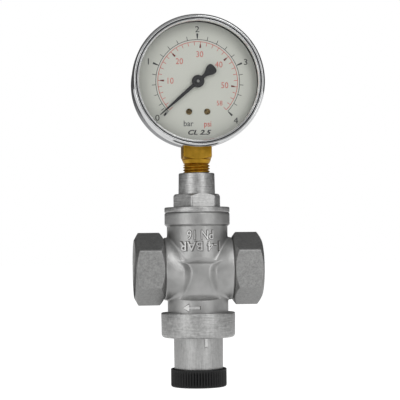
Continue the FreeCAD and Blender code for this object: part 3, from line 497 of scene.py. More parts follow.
forgedSkin = blastedNickel()
turnedCollar = turnedNickel("turnedNickelPlate", ringLines)
# the hexagons' nickel is darker than the collar's: painted shade for how their flats read under the lamps
shadedMilledHex = turnedNickel("milledNickelPlateShaded", flatGrain, "#b0b0af", "#8f8f8e", (0.38, 0.54), 0.16)
threadPlate = turnedNickel("threadNickelPlate", pipeLines, "#b0afad", "#9a9997", (0.32, 0.42))
tubePlate = turnedNickel("drawnNickelPlate", (2.4, 2.4, 0.12), "#cbcbca", "#a9a9a8", (0.33, 0.48), 0.05)
# the next two are painted light: a lighter nickel for raised tops is a painted highlight, and a dark nickel round their
# feet is painted shade
highlightTopPlate = turnedNickel("paintedHighlightNickel", flatGrain, "#dededd", "#c6c6c5", (0.34, 0.46), 0.05)
footShadePlate = turnedNickel("paintedShadeFootNickel", flatGrain, "#7f7e7c", "#626160", (0.42, 0.54), 0.05)
yellowBrass = bareBrass("turnedYellowBrass", "#c09a45", "#93702a", 0.36, ringLines)
milledBrass = bareBrass("milledYellowBrass", "#c89b37", "#a27b25", 0.42, (0.2, 0.2, 3.0), 0.03)
movementBrass = bareBrass("punchedMovementBrass", "#c9a552", "#9a7a36", 0.32, dialLines)
phosphorBronze = bareBrass("drawnPhosphorBronze", "#b07a4a", "#80522c", 0.34, flatGrain)
screwBrass = bareBrass("tarnishedScrewBrass", "#a8946a", "#2e261c", 0.36, flatGrain, 0.06)
chromeBezel = plainSteel("polishedStainless", "#eceded", "#e0e1e2", 0.10, 4.0, 0.0002)
grooveShadeInk = printedInk("paintedGrooveShade", "#17181a", "#26272a", 0.5)  # a near-black ring in the bezel's groove: painted shade where the groove reads dark
caseSteel = plainSteel("pressedStainless", "#84868a", "#77797d", 0.34, 1.5, 0.003)
zincSteel = plainSteel("zincPlatedSteel", "#b2b3b0", "#9c9d9b", 0.34)
springSteel = plainSteel("oiledSpringSteel", "#6f7072", "#55565a", 0.36, 0.4)
# glass-filled nylon from a spark-eroded mould: nearly black and dull, with a fine pebble, drawn coarser
blackNylon = dullFinish("mouldedBlackNylon", 1.46, (0.45, 3.0, 0.6), (6.0, 2.0), ("#050506", "#0b0b0c"),
                        (0.40, 0.56), 0.03, 0.35)
# nitrile rubber: black with a faint bloom
nitrile = dullFinish("blackNitrileRubber", 1.52, (3.0, 3.0), (3.0, 3.0), ("#121212", "#2a2a2b"), (0.62, 0.8), 0.02, 0.3)
# vulcanised fibre washers: red-brown and matt, with short fibres in the surface
fibreGrain = (0.6, 4.0, 0.7, (1.0, 1.0, 0.3))
fibre = dullFinish("vulcanisedFibre", 1.5, fibreGrain, fibreGrain, ("#5b2b1c", "#8a4a33"), (0.6, 0.8), 0.02, 0.4)
# aluminium sheet with a satin white lacquer: warm grey-white, an orange-peel too fine to see singly
dialWhite = dullFinish("whiteDialLacquer", 1.5, (0.8, 2.0), (14.0, 2.0), ("#cbcdc4", "#d1d3ca"), (0.42, 0.55),
                       0.01, 0.2)
inkBlack = printedInk("blackDialInk", "#26272a", "#3a3b3d")
inkGrey = printedInk("greyBlackDialInk", "#4c4d4e", "#67686a")
inkRed = printedInk("redDialInk", "#c0564d", "#d0776d")
inkRedDark = printedInk("darkRedDialInk", "#5e2422", "#7a302b")
pointerPaint = printedInk("blackPointerPaint", "#1a1b1d", "#232427", 0.45)
paneGlass = windowPane()
print("finishes made")


# forged body

forging = {
    "neckRadius": 14.8, "collarRadius": 15.9, "collarHeight": 5.7, "collarChamfer": 1.0,
    "bulgeRadius": 15.25, "bulgeDip": 3.0, "bulgeEnd": 17.0, "waistCut": 0.35, "endCut": 0.9, "creaseRounding": 0.9,
    "recessFlat": 12.0, "recessTop": 2.3, "flatEnd": -12.3, "recessBottom": -14.5, "recessWaist": 4.3, "waistZ": -1.5,
    "bendAbove": 0.090, "bendBelow": 0.0355, "wallSlope": 0.86, "topSlope": 1.25, "ledgeSlope": 6.0,
    "turnSlope": 0.5, "turnLimit": 2.6, "edgeRounding": 0.55, "shoulderRounding": 1.3,
    "spigotRadius": 14.0, "neckBottom": -21.2, "columns": 384, "halvings": 26,
}


def forgingField(x, y, z):
    # negative inside: an upright neck and a pipe bulge, joined with a rounded crease, and cut back to a
    # flat recess whose walls slope out to both sides and above, and which turns under to a ledge below
    f = forging
    collarFoot = bodyHigh[2] - f["collarHeight"]
    radius = np.where(z < f["neckBottom"], f["spigotRadius"], f["neckRadius"])
    radius = radius + (f["collarRadius"] - f["neckRadius"]) * np.clip(
        (z - collarFoot + f["collarChamfer"]) / f["collarChamfer"], 0, 1)
    neck = np.hypot(x, y) - radius
    away = np.abs(x)
    dip = -f["bulgeDip"] * (1 - smooth(away, 6.0, 15.0))
    bulgeRadius = (f["bulgeRadius"] - f["waistCut"] * (1 - smooth(away, 7.0, 14.0))
                   - f["endCut"] * smooth(away, 16.1, f["bulgeEnd"]))
    bulge = np.hypot(y, z - dip) - bulgeRadius
    bulge = smoothMax(bulge, away - f["bulgeEnd"], 0.3)
    outside = smoothMin(neck, bulge, f["creaseRounding"])
    lift = z - f["waistZ"]
    bend = np.where(lift > 0, f["bendAbove"], f["bendBelow"])
    half = f["recessWaist"] + bend * lift * lift
    sideWall = (away - half) * f["wallSlope"] / np.sqrt(1 + (2 * bend * lift) ** 2)
    topWall = (z - f["recessTop"]) * f["topSlope"]
    lowWall = (f["recessBottom"] - z) * f["ledgeSlope"]
    wall = smoothMax(smoothMax(sideWall, topWall, 0.5), lowWall, 0.5)
    turnedUnder = f["turnSlope"] * smoothMax(f["flatEnd"] - z, np.zeros_like(z), 0.5)  # the bulge's underside
    depth = f["recessFlat"] - np.minimum(turnedUnder, f["turnLimit"]) + smoothMax(wall, np.zeros_like(wall), 0.7)
    rounding = f["edgeRounding"] + f["shoulderRounding"] * smooth(z, 1.5, 4.0) * (1 - smooth(away, 6.0, 8.0))
    carve = np.abs(y) - depth
    wide = np.clip(0.5 + 0.5 * (outside - carve) / rounding, 0, 1)
    return carve * (1 - wide) + outside * wide + rounding * wide * (1 - wide)


def forgedBody():
    # for every direction round the upright axis and every height, the radius where the field crosses
    # nought, found by halving the gap again and again on the whole grid at once
    f = forging
    top = bodyHigh[2]
    bottom = bodyLow[2]
    rows = np.concatenate([
        np.linspace(bottom, f["neckBottom"] - 0.05, 5), np.linspace(f["neckBottom"], -15.6, 20),
        np.linspace(-15.5, -14.4, 16), np.linspace(-14.2, 14.2, 126), np.linspace(14.4, 15.5, 16),
        np.linspace(15.7, 20.3, 14), np.linspace(20.45, 21.7, 8), np.linspace(22.2, top - 0.6, 6)])
    angle = ringAngles(f["columns"])
    cosine, sine = np.cos(angle)[None], np.sin(angle)[None]
    z = rows[:, None] + 0 * angle[None]
    low = np.full(z.shape, 6.0)
    high = np.full(z.shape, 25.0)
    for _ in range(f["halvings"]):
        middle = (low + high) / 2
        outside = forgingField(middle * cosine, middle * sine, z) > 0
        high = np.where(outside, middle, high)
        low = np.where(outside, low, middle)
    grid = upright((low + high) / 2, angle, z)
    rimTop = turned([(f["collarRadius"] - 0.05, top - 0.45), (f["collarRadius"] - 0.22, top - 0.15),
                     (f["collarRadius"] - 0.6, top), (13.0, top)], columns=f["columns"])
    foot = turned([(11.6, bottom), (f["spigotRadius"], bottom)], columns=f["columns"])
    return np.concatenate([foot, grid, rimTop])


meshPiece("forgedBody", [forgedBody()], forgedSkin, replaced=["valve_body"], sharp=60)
print("forged body made")


# hexagonal pipe ends with their threads

pipeEnd = {
    "across": 31.0, "length": 14.0, "rimRadius": 14.3, "waistRadius": 14.45, "chamfer": 2.0,
    "footRadius": 15.3, "cornerPower": 60.0, "threadMajor": 13.2, "threadDepth": 1.16, "pitch": 1.814, "floor": 17.0,
    "mouthRadius": 10.4, "columns": 240,
}


def pipeEndGrid(side):
    # round the pipe axis the radius is the smaller of the hexagon and the two chamfer cones, softly joined
    p = pipeEnd
    end = bodyHigh[0]
    start = end - p["length"]
    angle = ringAngles(p["columns"])
    flatAngle = regular(angle, 6, p["across"], p["cornerPower"], 30)[None]
    waist = np.array([[15.6, 13.9], [16.1, p["waistRadius"]], [start - 0.2, p["waistRadius"]],
                      [start, p["waistRadius"] + 0.25]])
    along = np.concatenate([np.linspace(start + 0.02, start + 2.4, 14), np.linspace(start + 2.8, end - 2.8, 10),
                            np.linspace(end - 2.4, end, 16)])
    corner = p["across"] / math.sqrt(3)
    inner = p["footRadius"] + (along - start) * (corner + 0.3 - p["footRadius"]) / p["chamfer"]
    outer = p["rimRadius"] + (end - along) * (corner - p["rimRadius"]) / p["chamfer"]
    hexPart = smoothMin(flatAngle, inner[:, None], 0.35)
    hexPart = smoothMin(hexPart, outer[:, None], 0.3)
    radius, threadAlong = threaded(
        p["threadMajor"], p["threadDepth"], p["pitch"], end - 1.2, p["floor"] + 1.0, 1.6, p["columns"], 11)
    mouth = np.array([[end, 14.0], [end, 13.6], [end - 0.6, 13.25]])
    tail = np.array([[p["floor"] + 0.9, p["threadMajor"]], [p["floor"], p["threadMajor"]],
                     [p["floor"], p["mouthRadius"]]])

    def plain(pairs):
        # places along the axis and radii that are the same all the way round
        return np.repeat(pairs[:, :1], p["columns"], 1), np.repeat(pairs[:, 1:], p["columns"], 1)

    xs, rs = zip(plain(waist), (np.repeat(along[:, None], p["columns"], 1), hexPart), plain(mouth),
                 (np.repeat(threadAlong[:, None], p["columns"], 1), radius), plain(tail))
    x, r = np.concatenate(xs), np.concatenate(rs)
    return np.stack([side * x, r * np.cos(angle + np.pi / 2), r * np.sin(angle + np.pi / 2)], -1)


for side, name in ((1, "inletEnd"), (-1, "outletEnd")):
    meshPiece(name, [pipeEndGrid(side)], shadedMilledHex, replaced=["valve_body"])

water = {"upperZ": 16.5, "upperRadius": 13.3, "boreRadius": 11.7, "mouthX": 17.01, "mouthRadius": 10.7}


def insideWater(corners):
    # the waterways and bores: close to the upright axis, or inside a pipe end beyond its thread
    around = fromAxis(corners)
    inPipe = np.hypot(corners[..., 1], corners[..., 2])
    high = (corners[..., 2] > water["upperZ"]) & (around < water["upperRadius"])
    middle = around < water["boreRadius"]
    mouth = (np.abs(corners[..., 0]) < water["mouthX"]) & (inPipe < water["mouthRadius"])
    return (high | middle | mouth).all(1)


carried("waterways", "valve_body", insideWater, threadPlate)
print("pipe ends made")


# marks raised on the forging

marks = {"neckRadius": 14.8, "under": 0.3, "raise": 0.6, "footRaise": 0.1, "footGrow": 0.7, "height": 4.4,
         "arrowX": -4.7, "arrowZ": -18.6, "arrowHalf": 4.1, "arrowHead": 3.2, "arrowWing": 1.75, "arrowShaft": 0.6,
         "rows": [("PN 16", 16.3, 12.6), ("1-4 BAR", 10.9, 20.4)]}  # each word, the middle of its row and its length


def wrapOnNeck(points, centreX, centreZ, raised):
    # x becomes an angle round the neck, y a height, and z a radius from under the skin up to the raise
    angle = (centreX + points[:, 0]) / marks["neckRadius"]
    out = marks["neckRadius"] - marks["under"] + (points[:, 2] + 0.5) * (raised + marks["under"])
    return np.stack([out * np.sin(angle), -out * np.cos(angle), centreZ + points[:, 1]], -1)


def raisedWords(raised, grow):
    # the words stand upside down on the valve
    parts = []
    for word, z, width in marks["rows"]:
        points, faces = lettering(word, marks["height"] + grow, weight=grow * 0.08, width=width + grow)
        points = points * np.array([-1, -1, 1 / np.ptp(points[:, 2])])
        parts.append((wrapOnNeck(points, 0, z, raised), faces))
    return parts


def raisedArrow(raised, grow):
    # a plain arrow that points along -X, from inlet to outlet
    half, head = marks["arrowHalf"] + grow, marks["arrowHead"] + grow * 0.4
    wing, shaft = marks["arrowWing"] + grow, marks["arrowShaft"] + grow * 0.6
    outline = np.array([[-half, 0], [-half + head, wing], [-half + head, shaft], [half, shaft],
                        [half, -shaft], [-half + head, -shaft], [-half + head, -wing]])
    points, faces = slab(outline, -0.5, 0.5)
    flat = np.stack([points[:, 0], points[:, 2], -points[:, 1]], -1)
    return wrapOnNeck(flat, marks["arrowX"], marks["arrowZ"], raised), faces


# the tops take a lighter nickel, a painted highlight, and a slightly larger dark plate round their feet is painted
# shade
for layer, finish, raised, grow in (("", highlightTopPlate, marks["raise"], 0.0),
                                    ("Foot", footShadePlate, marks["footRaise"], marks["footGrow"])):
    meshPiece("raisedWords" + layer, raisedWords(raised, grow), finish, sharp=50)
    meshPiece("flowArrow" + layer, [raisedArrow(raised, grow * 0.6)], finish, sharp=50)
print("marks made")


# gauge port plug

plug = {"flangeRadius": 15.9, "flangeHeight": 2.7, "across": 21.0, "hexHeight": 6.4, "turn": 12.3,
        "cornerPower": 46.0, "crownDrop": 1.4,
        "crownSlope": 1.25, "bossTop": 8.75, "bossBottom": 8.95, "bore": 6.45, "insideRadius": 15.0, "columns": 192}


def plugParts():
    # a turned flange, a hexagon whose upper corners are cut by a cone, and a turned boss with its bore
    top = bodyHigh[2]
    hexBottom = top + plug["flangeHeight"]
    hexTop = hexBottom + plug["hexHeight"]
    bossTop = plugHigh[2]
    flange = rounded([(12.0, top), (plug["flangeRadius"], top + 0.05, 0.5), (plug["flangeRadius"], hexBottom, 0.5),
                      (9.5, hexBottom)])
    angle = ringAngles(plug["columns"])
    flat = regular(angle, 6, plug["across"], plug["cornerPower"], plug["turn"] + 30)[None]
    corner = plug["across"] / math.sqrt(3)
    z = np.concatenate([[hexBottom - 0.3], np.linspace(hexBottom, hexTop - 1.3, 8),
                        np.linspace(hexTop - 1.2, hexTop, 12)])
    cone = corner - plug["crownDrop"] + (hexTop - z) * plug["crownSlope"]
    body = upright(smoothMin(flat, cone[:, None], 0.3), angle, z[:, None])
    crown = turned([(8.8, hexTop)], columns=plug["columns"])
    boss = rounded([(plug["bossBottom"] - 0.4, hexTop - 0.2), (plug["bossBottom"], hexTop, 0.1),
                    (plug["bossTop"], bossTop, 0.45), (plug["bore"], bossTop), (plug["bore"], bossTop - 4.0)])
    return [turned(flange, columns=plug["columns"]), np.concatenate([body, crown]),
            turned(boss, columns=plug["columns"])]


def plugInside(corners):
    # the skirt, the guide and the bore of the plug, below its flange
    return ((corners[..., 2] < bodyHigh[2] + 0.02) & (fromAxis(corners) < plug["insideRadius"])).all(1)


meshPiece("gaugePortPlug", plugParts(), turnedCollar, replaced=["gauge_port_plug"])
carried("plugSkirt", "gauge_port_plug", plugInside, yellowBrass)
print("plug made")


# spring bonnet and its index rib

bonnet = {"topRadius": 18.05, "collarRadius": 17.9, "collarHeight": 12.1, "collarRounding": 1.7,
          "tubeRadius": 12.0, "tubeEnd": 11.85, "rootZ": -33.9, "rootRounding": 0.5,
          "skirtRadius": 14.05, "columns": 224,
          "ribX": 2.4, "ribWidth": 2.0, "ribHeight": 4.8, "ribRaise": 0.75}


def bonnetProfile():
    # the threaded skirt's top, the collar, the tube and its closed foot
    top = bonnetHigh[2]
    foot = top - bonnet["collarHeight"]
    return rounded([
        (bonnet["skirtRadius"], top), (bonnet["topRadius"], top, 0.6),
        (bonnet["collarRadius"], foot, bonnet["collarRounding"]),
        (bonnet["tubeRadius"], foot, bonnet["rootRounding"]), (bonnet["tubeEnd"], bonnetLow[2], 0.3),
        (4.0, bonnetLow[2])], 8)


def indexRib():
    # a long bump on the tube: its raise falls away evenly towards its sides and both ends
    across = np.linspace(-1, 1, 15)
    top = bonnetHigh[2] - bonnet["collarHeight"] + 0.2
    z = np.linspace(top, top - bonnet["ribHeight"] - 0.4, 25)
    angle = (bonnet["ribX"] + across * bonnet["ribWidth"] / 2) / bonnet["tubeRadius"]
    side = 1 - smooth(np.abs(across), 0.68, 1.0)
    end = 1 - smooth(top - z, bonnet["ribHeight"] - 0.6, bonnet["ribHeight"] + 0.4)
    radius = bonnet["tubeRadius"] - 0.25 + (bonnet["ribRaise"] + 0.25) * side[None] * end[:, None]
    return np.stack([radius * np.sin(angle)[None], -radius * np.cos(angle)[None], z[:, None] + 0 * radius], -1)


def bonnetInside(corners):
    # what lies inside the bonnet's outer skin: its thread, its bore and the guide of the spring plate
    around = fromAxis(corners)
    deep = (corners[..., 2] > bonnetLow[2] + 0.01).all(1)
    return (around < 14.2).all(1) & deep & ((around < 11.3).all(1) | (corners[..., 2] > -31.5).all(1))


collarRows = bonnetProfile()
fromRoot = np.abs(collarRows[:, 0] - bonnet["tubeRadius"]) + np.abs(collarRows[:, 1] - bonnet["rootZ"])
split = int(np.argmin(fromRoot))
for name, rows, finish in (("bonnetCollar", collarRows[:split + 1], turnedCollar),
                           ("bonnetTube", collarRows[split:], tubePlate)):
    meshPiece(name, [turned(rows, columns=bonnet["columns"])], finish, replaced=["spring_bonnet"])
# the rib takes the lighter nickel: a painted highlight on its top
meshPiece("indexRib", [(indexRib(), False, False)], highlightTopPlate, replaced=["spring_bonnet"])
carried("bonnetInside", "spring_bonnet", bonnetInside, yellowBrass)
print("bonnet made")


# knob

knob = {"radius": 13.55, "ribs": 60, "groove": 0.55, "rimHeight": 0.9, "rounding": 1.0, "wall": 1.25, "floor": 1.5,
        "hub": 4.9, "hubTop": -50.0, "centreRadius": 3.6, "samples": 12}


def knobGrid():
    # the side is a circle less a rounded groove at each rib, which fades out below the top rim and above the foot
    k = knob
    top, bottom = knobHigh[2], knobLow[2]
    columns = k["ribs"] * k["samples"]
    angle = ringAngles(columns)
    outer = rounded([(2.9, bottom), (k["radius"], bottom, k["rounding"]), (k["radius"], bottom + 2.0)], 7)
    side = np.stack([np.full(14, k["radius"]), np.linspace(bottom + 2.2, top - 1.6, 14)], -1)
    rim = rounded([(k["radius"], top - 1.4), (k["radius"], top, 0.35), (k["radius"] - k["wall"], top, 0.35),
                   (k["radius"] - k["wall"], bottom + k["floor"]), (k["hub"], bottom + k["floor"]),
                   (k["hub"], k["hubTop"]), (3.5, k["hubTop"])], 5)[1:]
    profile = np.vstack([outer, side, [[k["radius"], top - k["rimHeight"] - 0.1]], rim])
    depth = k["groove"] * smooth(profile[:, 1], bottom + 0.2, bottom + 1.2) * (
        1 - smooth(profile[:, 1], top - k["rimHeight"] - 0.25, top - k["rimHeight"] + 0.05))
    depth = np.where(profile[:, 0] > k["radius"] - 0.6, depth, 0)
    wave = 0.5 - 0.5 * np.cos(angle * k["ribs"])
    radius = profile[:, :1] - depth[:, None] * wave[None] ** 2
    return upright(radius, angle, profile[:, 1:])


def knobCentre(corners):
    # the socket for the adjusting screw and the seat of the knob's screw
    return (fromAxis(corners) < knob["centreRadius"]).all(1)


meshPiece("adjustingKnob", [knobGrid()], blackNylon, ["adjusting_knob"], "adjuster", 50)
carried("knobCentre", "adjusting_knob", knobCentre, blackNylon, "adjuster")
print("knob made")


# gauge socket: threaded stem and square

stem = {"major": 6.53, "depth": 0.86, "pitch": 1.337, "taperLow": 6.3, "taperTop": 7.1, "taperLength": 2.2,
        "square": 14.0, "bevelHeight": 1.2, "cornerRadius": 9.5, "cornerPower": 26.0,
        "squareRise": 6.75, "intoCase": 4.75, "columns": 144}


def stemGrid(squareBottom):
    # the thread's grid between a closed foot and a turned taper that ends under the square
    s = stem
    start = socketLow[2]
    threadTop = squareBottom - s["taperLength"]
    radius, along = threaded(s["major"], s["depth"], s["pitch"], start, threadTop, 0.5, s["columns"], 14)
    grid = upright(radius, ringAngles(s["columns"]), along[:, None])
    taper = turned(rounded([(s["taperLow"] - 0.35, threadTop + 0.02), (s["taperLow"], threadTop + 0.25, 0.1),
                            (s["taperTop"], squareBottom - 0.15, 0.12), (s["taperTop"] - 0.3, squareBottom + 0.05)]),
                   columns=s["columns"])
    return np.concatenate([turned([(0, start)], columns=s["columns"]), grid, taper])


def squareGrid(squareBottom, squareTop):
    # round the stem the radius is the smaller of the rounded square and the cone that bevels its lower corners
    s = stem
    angle = ringAngles(s["columns"])
    flat = regular(angle, 4, s["square"], s["cornerPower"])
    z = np.concatenate([squareBottom + np.array([0, 0.05, 0.2, 0.4, 0.6, 0.8, 1.0, 1.3, 1.7, 2.2]),
                        np.linspace(squareBottom + 2.6, squareTop, 6)])
    cone = s["taperTop"] + (z - squareBottom) * (s["cornerRadius"] - s["taperTop"]) / s["bevelHeight"]
    body = upright(smoothMin(flat[None], cone[:, None], 0.3), angle, z[:, None])
    low = turned([(s["taperLow"], squareBottom)], columns=s["columns"])
    high = turned([(0, squareTop)], columns=s["columns"])
    return np.concatenate([low, body, high])


squareBottom = plugHigh[2] + stem["squareRise"]
squareTop = caseLow[2] + stem["intoCase"]


def aboveSquare(corners):
    # the block inside the case that the tube and the movement are held by
    return (corners[..., 2] > squareTop - 1.2).all(1)


meshPiece("gaugeStem", [stemGrid(squareBottom)], milledBrass, ["gauge_socket"])
meshPiece("gaugeSquare", [squareGrid(squareBottom, squareTop)], milledBrass, ["gauge_socket"], sharp=28)
carried("socketBlock", "gauge_socket", aboveSquare, milledBrass)
print("gauge socket made")


# gauge case, bezel and glass

gaugeCase = {"radius": 31.35, "wall": 1.55, "backRounding": 2.2, "panelIn": 11.0, "panelOut": 12.2, "panelDepth": 0.5,
             "lipRadius": 30.75, "lipDepth": 3.1, "columns": 256}
bezel = {"radius": 32.0, "inner": 28.6, "bead": 29.05, "grooveIn": 29.6, "grooveOut": 30.3, "grooveDepth": 0.85,
         "crest": 31.1, "skirt": 30.82, "columns": 288}


def caseProfile():
    # a back with a shallow round panel pressed in, a rounded edge, the side, the lip under the bezel, and the inside
    c = gaugeCase
    back = caseHigh[1]
    front = caseLow[1]
    inside = c["radius"] - c["wall"]
    panel, lip = back - c["panelDepth"], front + c["lipDepth"]
    return rounded([
        (0, panel), (c["panelIn"], panel, 1.0), (c["panelOut"], back, 1.0), (c["radius"], back, c["backRounding"]),
        (c["radius"], lip, 0.2), (c["lipRadius"], lip, 0.1), (c["lipRadius"], front), (inside, front),
        (inside, back - 1.0, 1.0), (0, back - 1.0)], 7)


def bezelProfile():
    # from the inner lip outwards: a wall down to the glass, a rolled bead, a groove, the front roll and the skirt
    b = bezel
    front = bezelLow[1]
    back = bezelHigh[1]
    seat = glassLow[1]
    return rounded([
        (b["inner"], seat), (b["inner"], front + 1.3, 0.3), (b["bead"], front + 0.35, 0.3),
        (b["grooveIn"], front + 0.35, 0.2), (b["grooveIn"] + 0.12, front + b["grooveDepth"], 0.1),
        (b["grooveOut"] - 0.12, front + b["grooveDepth"], 0.1), (b["grooveOut"], front, 0.3),
        (b["crest"], front, 0.6), (b["radius"], front + 1.5, 1.1), (b["radius"], back, 0.25),
        (b["skirt"], back), (b["skirt"], seat), (b["inner"], seat)], 8)


def seamRing():
    # a flat dark ring that fills the foot of the groove: painted shade
    b = bezel
    level = bezelLow[1] + b["grooveDepth"]
    inner, outer = b["grooveIn"] + 0.05, b["grooveOut"] - 0.05
    return roundGauge([(inner, level), (inner, level - 0.25), (outer, level - 0.25), (outer, level)], b["columns"])


meshPiece("gaugeCase", [roundGauge(caseProfile(), gaugeCase["columns"])], caseSteel, ["gauge_case"])
meshPiece("bezelRing", [roundGauge(bezelProfile(), bezel["columns"])], chromeBezel, ["bezel_ring"],
          sharp=40)
# the dark ring in the groove is painted shade
meshPiece("bezelGrooveShade", [(seamRing(), True, True)], grooveShadeInk)
glassRim = (glassHigh[2] - glassLow[2]) / 2
paneProfile = rounded([(0, glassLow[1]), (glassRim, glassLow[1], 0.2), (glassRim, glassHigh[1], 0.2),
                       (0, glassHigh[1])])
meshPiece("gaugeGlass", [roundGauge(paneProfile, 192)], paneGlass, ["gauge_window"])
print("case and bezel made")


# dial plate and its printing

dial = {"radius": 28.9, "bore": 1.6, "columns": 192, "inkDepth": 0.03, "fullScale": 4, "psiScale": 58,
        "startAngle": 45.0, "sweep": 270.0, "blackCircle": 20.35, "redCircle": 19.35, "circleWidth": 0.25,
        "minorOut": 22.25, "majorIn": 20.95, "majorOut": 23.35, "redMinorIn": 17.55, "redBoldIn": 16.35,
        "redBoldOut": 18.15, "redDigitRadius": 13.2, "redLastRadius": 14.8, "digitHeight": 2.9,
        "tensPsi": (10, 20, 30, 40, 50), "restMarks": (46.2, 51.9), "restIn": 21.0, "restOut": 22.6,
        # the radius and the angle of each figure from 0 to 4
        "digits": [(26.4, 48.4), (25.7, 112.2), (25.4, 180.0), (25.3, 247.8), (26.3, 316.0)]}
dialFace = dialLow[1]


def onDial(radius, degrees):
    # a point so many degrees clockwise from straight down, seen from the front
    turn = np.radians(degrees)
    return np.stack([-np.asarray(radius) * np.sin(turn), gaugeZ - np.asarray(radius) * np.cos(turn)], -1)


def inkSlab(outline):
    # a film of ink that starts just under the face of the dial
    return slab(outline, dialFace - dial["inkDepth"], dialFace + 0.02)


def inkTick(degrees, inner, outer, innerWidth, outerWidth):
    # a straight mark along the radius, with its own width at each end
    middleIn, middleOut = onDial(inner, degrees), onDial(outer, degrees)
    ahead = (middleOut - middleIn) / np.linalg.norm(middleOut - middleIn)
    side = np.array([-ahead[1], ahead[0]])
    return inkSlab([middleIn + side * innerWidth / 2, middleOut + side * outerWidth / 2,
                    middleOut - side * outerWidth / 2, middleIn - side * innerWidth / 2])


def inkArc(radius, width, start, end, steps=180):
    # two arcs half a width inside and outside the radius, joined at their ends
    degrees = np.linspace(start, end, steps)
    return inkSlab(np.vstack([onDial(radius + width / 2, degrees), onDial(radius - width / 2, degrees[::-1])]))


def inkWord(word, x, z, height, narrow=0.9, slant=0.0, weight=0.0):
    # the word's middle stands at x and z, and its plate straddles the face of the dial
    points, faces = lettering(word, height, narrow, dial["inkDepth"] + 0.02, slant, weight)
    depth = dialFace - dial["inkDepth"] / 2 + 0.005 - points[:, 2]
    return np.stack([x + points[:, 0], depth, z + points[:, 1]], -1), faces


def barAngle(pressure):
    # the share of full scale times the sweep, past the start
    return dial["startAngle"] + dial["sweep"] * pressure / dial["fullScale"]


def psiAngle(pressure):
    # the same on the other scale
    return dial["startAngle"] + dial["sweep"] * pressure / dial["psiScale"]


def blackPrinting():
    # the bar scale: its circle, a short mark each fifth, a wedge and a figure each whole bar, and two rest marks
    d = dial
    parts = [inkArc(d["blackCircle"], d["circleWidth"], barAngle(0), barAngle(d["fullScale"]))]
    for fifth in range(5 * d["fullScale"] + 1):
        degrees = barAngle(fifth / 5)
        if fifth % 5:
            parts.append(inkTick(degrees, d["blackCircle"], d["minorOut"], 0.27, 0.27))
        else:
            parts.append(inkTick(degrees, d["blackCircle"], d["majorIn"], 0.18, 0.3))
            parts.append(inkTick(degrees, d["majorIn"], d["majorOut"], 0.5, 0.98))
    for pressure, (radius, degrees) in enumerate(d["digits"]):
        parts.append(inkWord(str(pressure), *onDial(radius, degrees), d["digitHeight"], 1.12))
    return parts + [inkTick(degrees, d["restIn"], d["restOut"], 0.3, 0.3) for degrees in d["restMarks"]]


def redPrinting():
    # the psi scale: its circle, a short mark each two psi, a figure each ten and one at the end
    d = dial
    last = d["psiScale"]
    parts = [inkArc(d["redCircle"], d["circleWidth"] + 0.05, psiAngle(0), psiAngle(last))]
    for pressure in range(0, last + 1, 2):
        parts.append(inkTick(psiAngle(pressure), d["redMinorIn"], d["redCircle"], 0.28, 0.28))
    for pressure in d["tensPsi"]:
        spot = onDial(d["redDigitRadius"] + 0.1 * (pressure == 30), psiAngle(pressure))
        parts.append(inkWord(str(pressure), *spot, d["digitHeight"]))
    parts.append(inkWord(str(last), *onDial(d["redLastRadius"], psiAngle(last)), 2.35))
    parts.append(inkWord("psi", 4.55, gaugeZ - 21.0, 3.4, weight=0.01))
    return parts


def boldRedTicks():
    # a dark wedge at each ten psi
    d = dial
    return [inkTick(psiAngle(pressure), d["redBoldIn"], d["redBoldOut"], 0.9, 0.55) for pressure in d["tensPsi"]]


def dialPlateProfile():
    # a flat ring of sheet with its edge just rounded
    back = dialHigh[1]
    bore, rim = dial["bore"], dial["radius"]
    return rounded([(bore, dialFace), (rim, dialFace, 0.1), (rim, back, 0.1), (bore, back), (bore, dialFace)])


meshPiece("dialPlate", [roundGauge(dialPlateProfile(), dial["columns"])], dialWhite, ["dial_plate"])
meshPiece("blackPrinting", blackPrinting(), inkBlack)
meshPiece("redPrinting", redPrinting(), inkRed)
meshPiece("boldRedTicks", boldRedTicks(), inkRedDark)
meshPiece("barWord", [inkWord("bar", -4.7, gaugeZ - 20.3, 2.75, 0.95, weight=0.012)], inkGrey)
meshPiece("accuracyWord", [inkWord("CL 2.5", 0.6, gaugeZ - 24.6, 2.4, 1.3, 0.3, 0.03)], inkBlack)
print("dial made")


# dial screws, pointer and its hub

screwHead = {"radius": 1.5, "height": 0.7, "recess": 0.62, "arm": 0.3, "reach": 1.25}
hand = {"rootWidth": 1.9, "tipWidth": 0.45, "length": 24.8, "tail": 10.6, "tailWidth": 5.3, "tailRounding": 1.7,
        "waist": 3.6, "ring": 3.05, "bore": 0.72, "angle": 48.6}


def screwHeadGrid(x, z, turn):
    # a shallow dome over the head, less a cross-shaped recess
    s = screwHead
    ringRadius = np.concatenate([np.linspace(0, s["radius"] * 0.93, 16), [s["radius"], s["radius"]]])
    angle = ringAngles(48)
    height = s["height"] * (1 - 0.45 * (ringRadius / s["radius"]) ** 2.4)
    height[-2:] = (s["height"] * 0.3, -0.05)
    across = ringRadius[:, None] * np.cos(angle)
    up = ringRadius[:, None] * np.sin(angle)
    arm = np.minimum(np.abs(across), np.abs(up))
    cut = 1 - smooth(arm, s["arm"] * 0.6, s["arm"] * 1.5)
    cut = cut * (1 - smooth(np.hypot(across, up), s["reach"] * 0.7, s["reach"]))
    depth = height[:, None] - s["recess"] * cut
    c, n = math.cos(turn), math.sin(turn)
    return np.stack([x + across * c - up * n, dialFace - depth, z + across * n + up * c], -1)


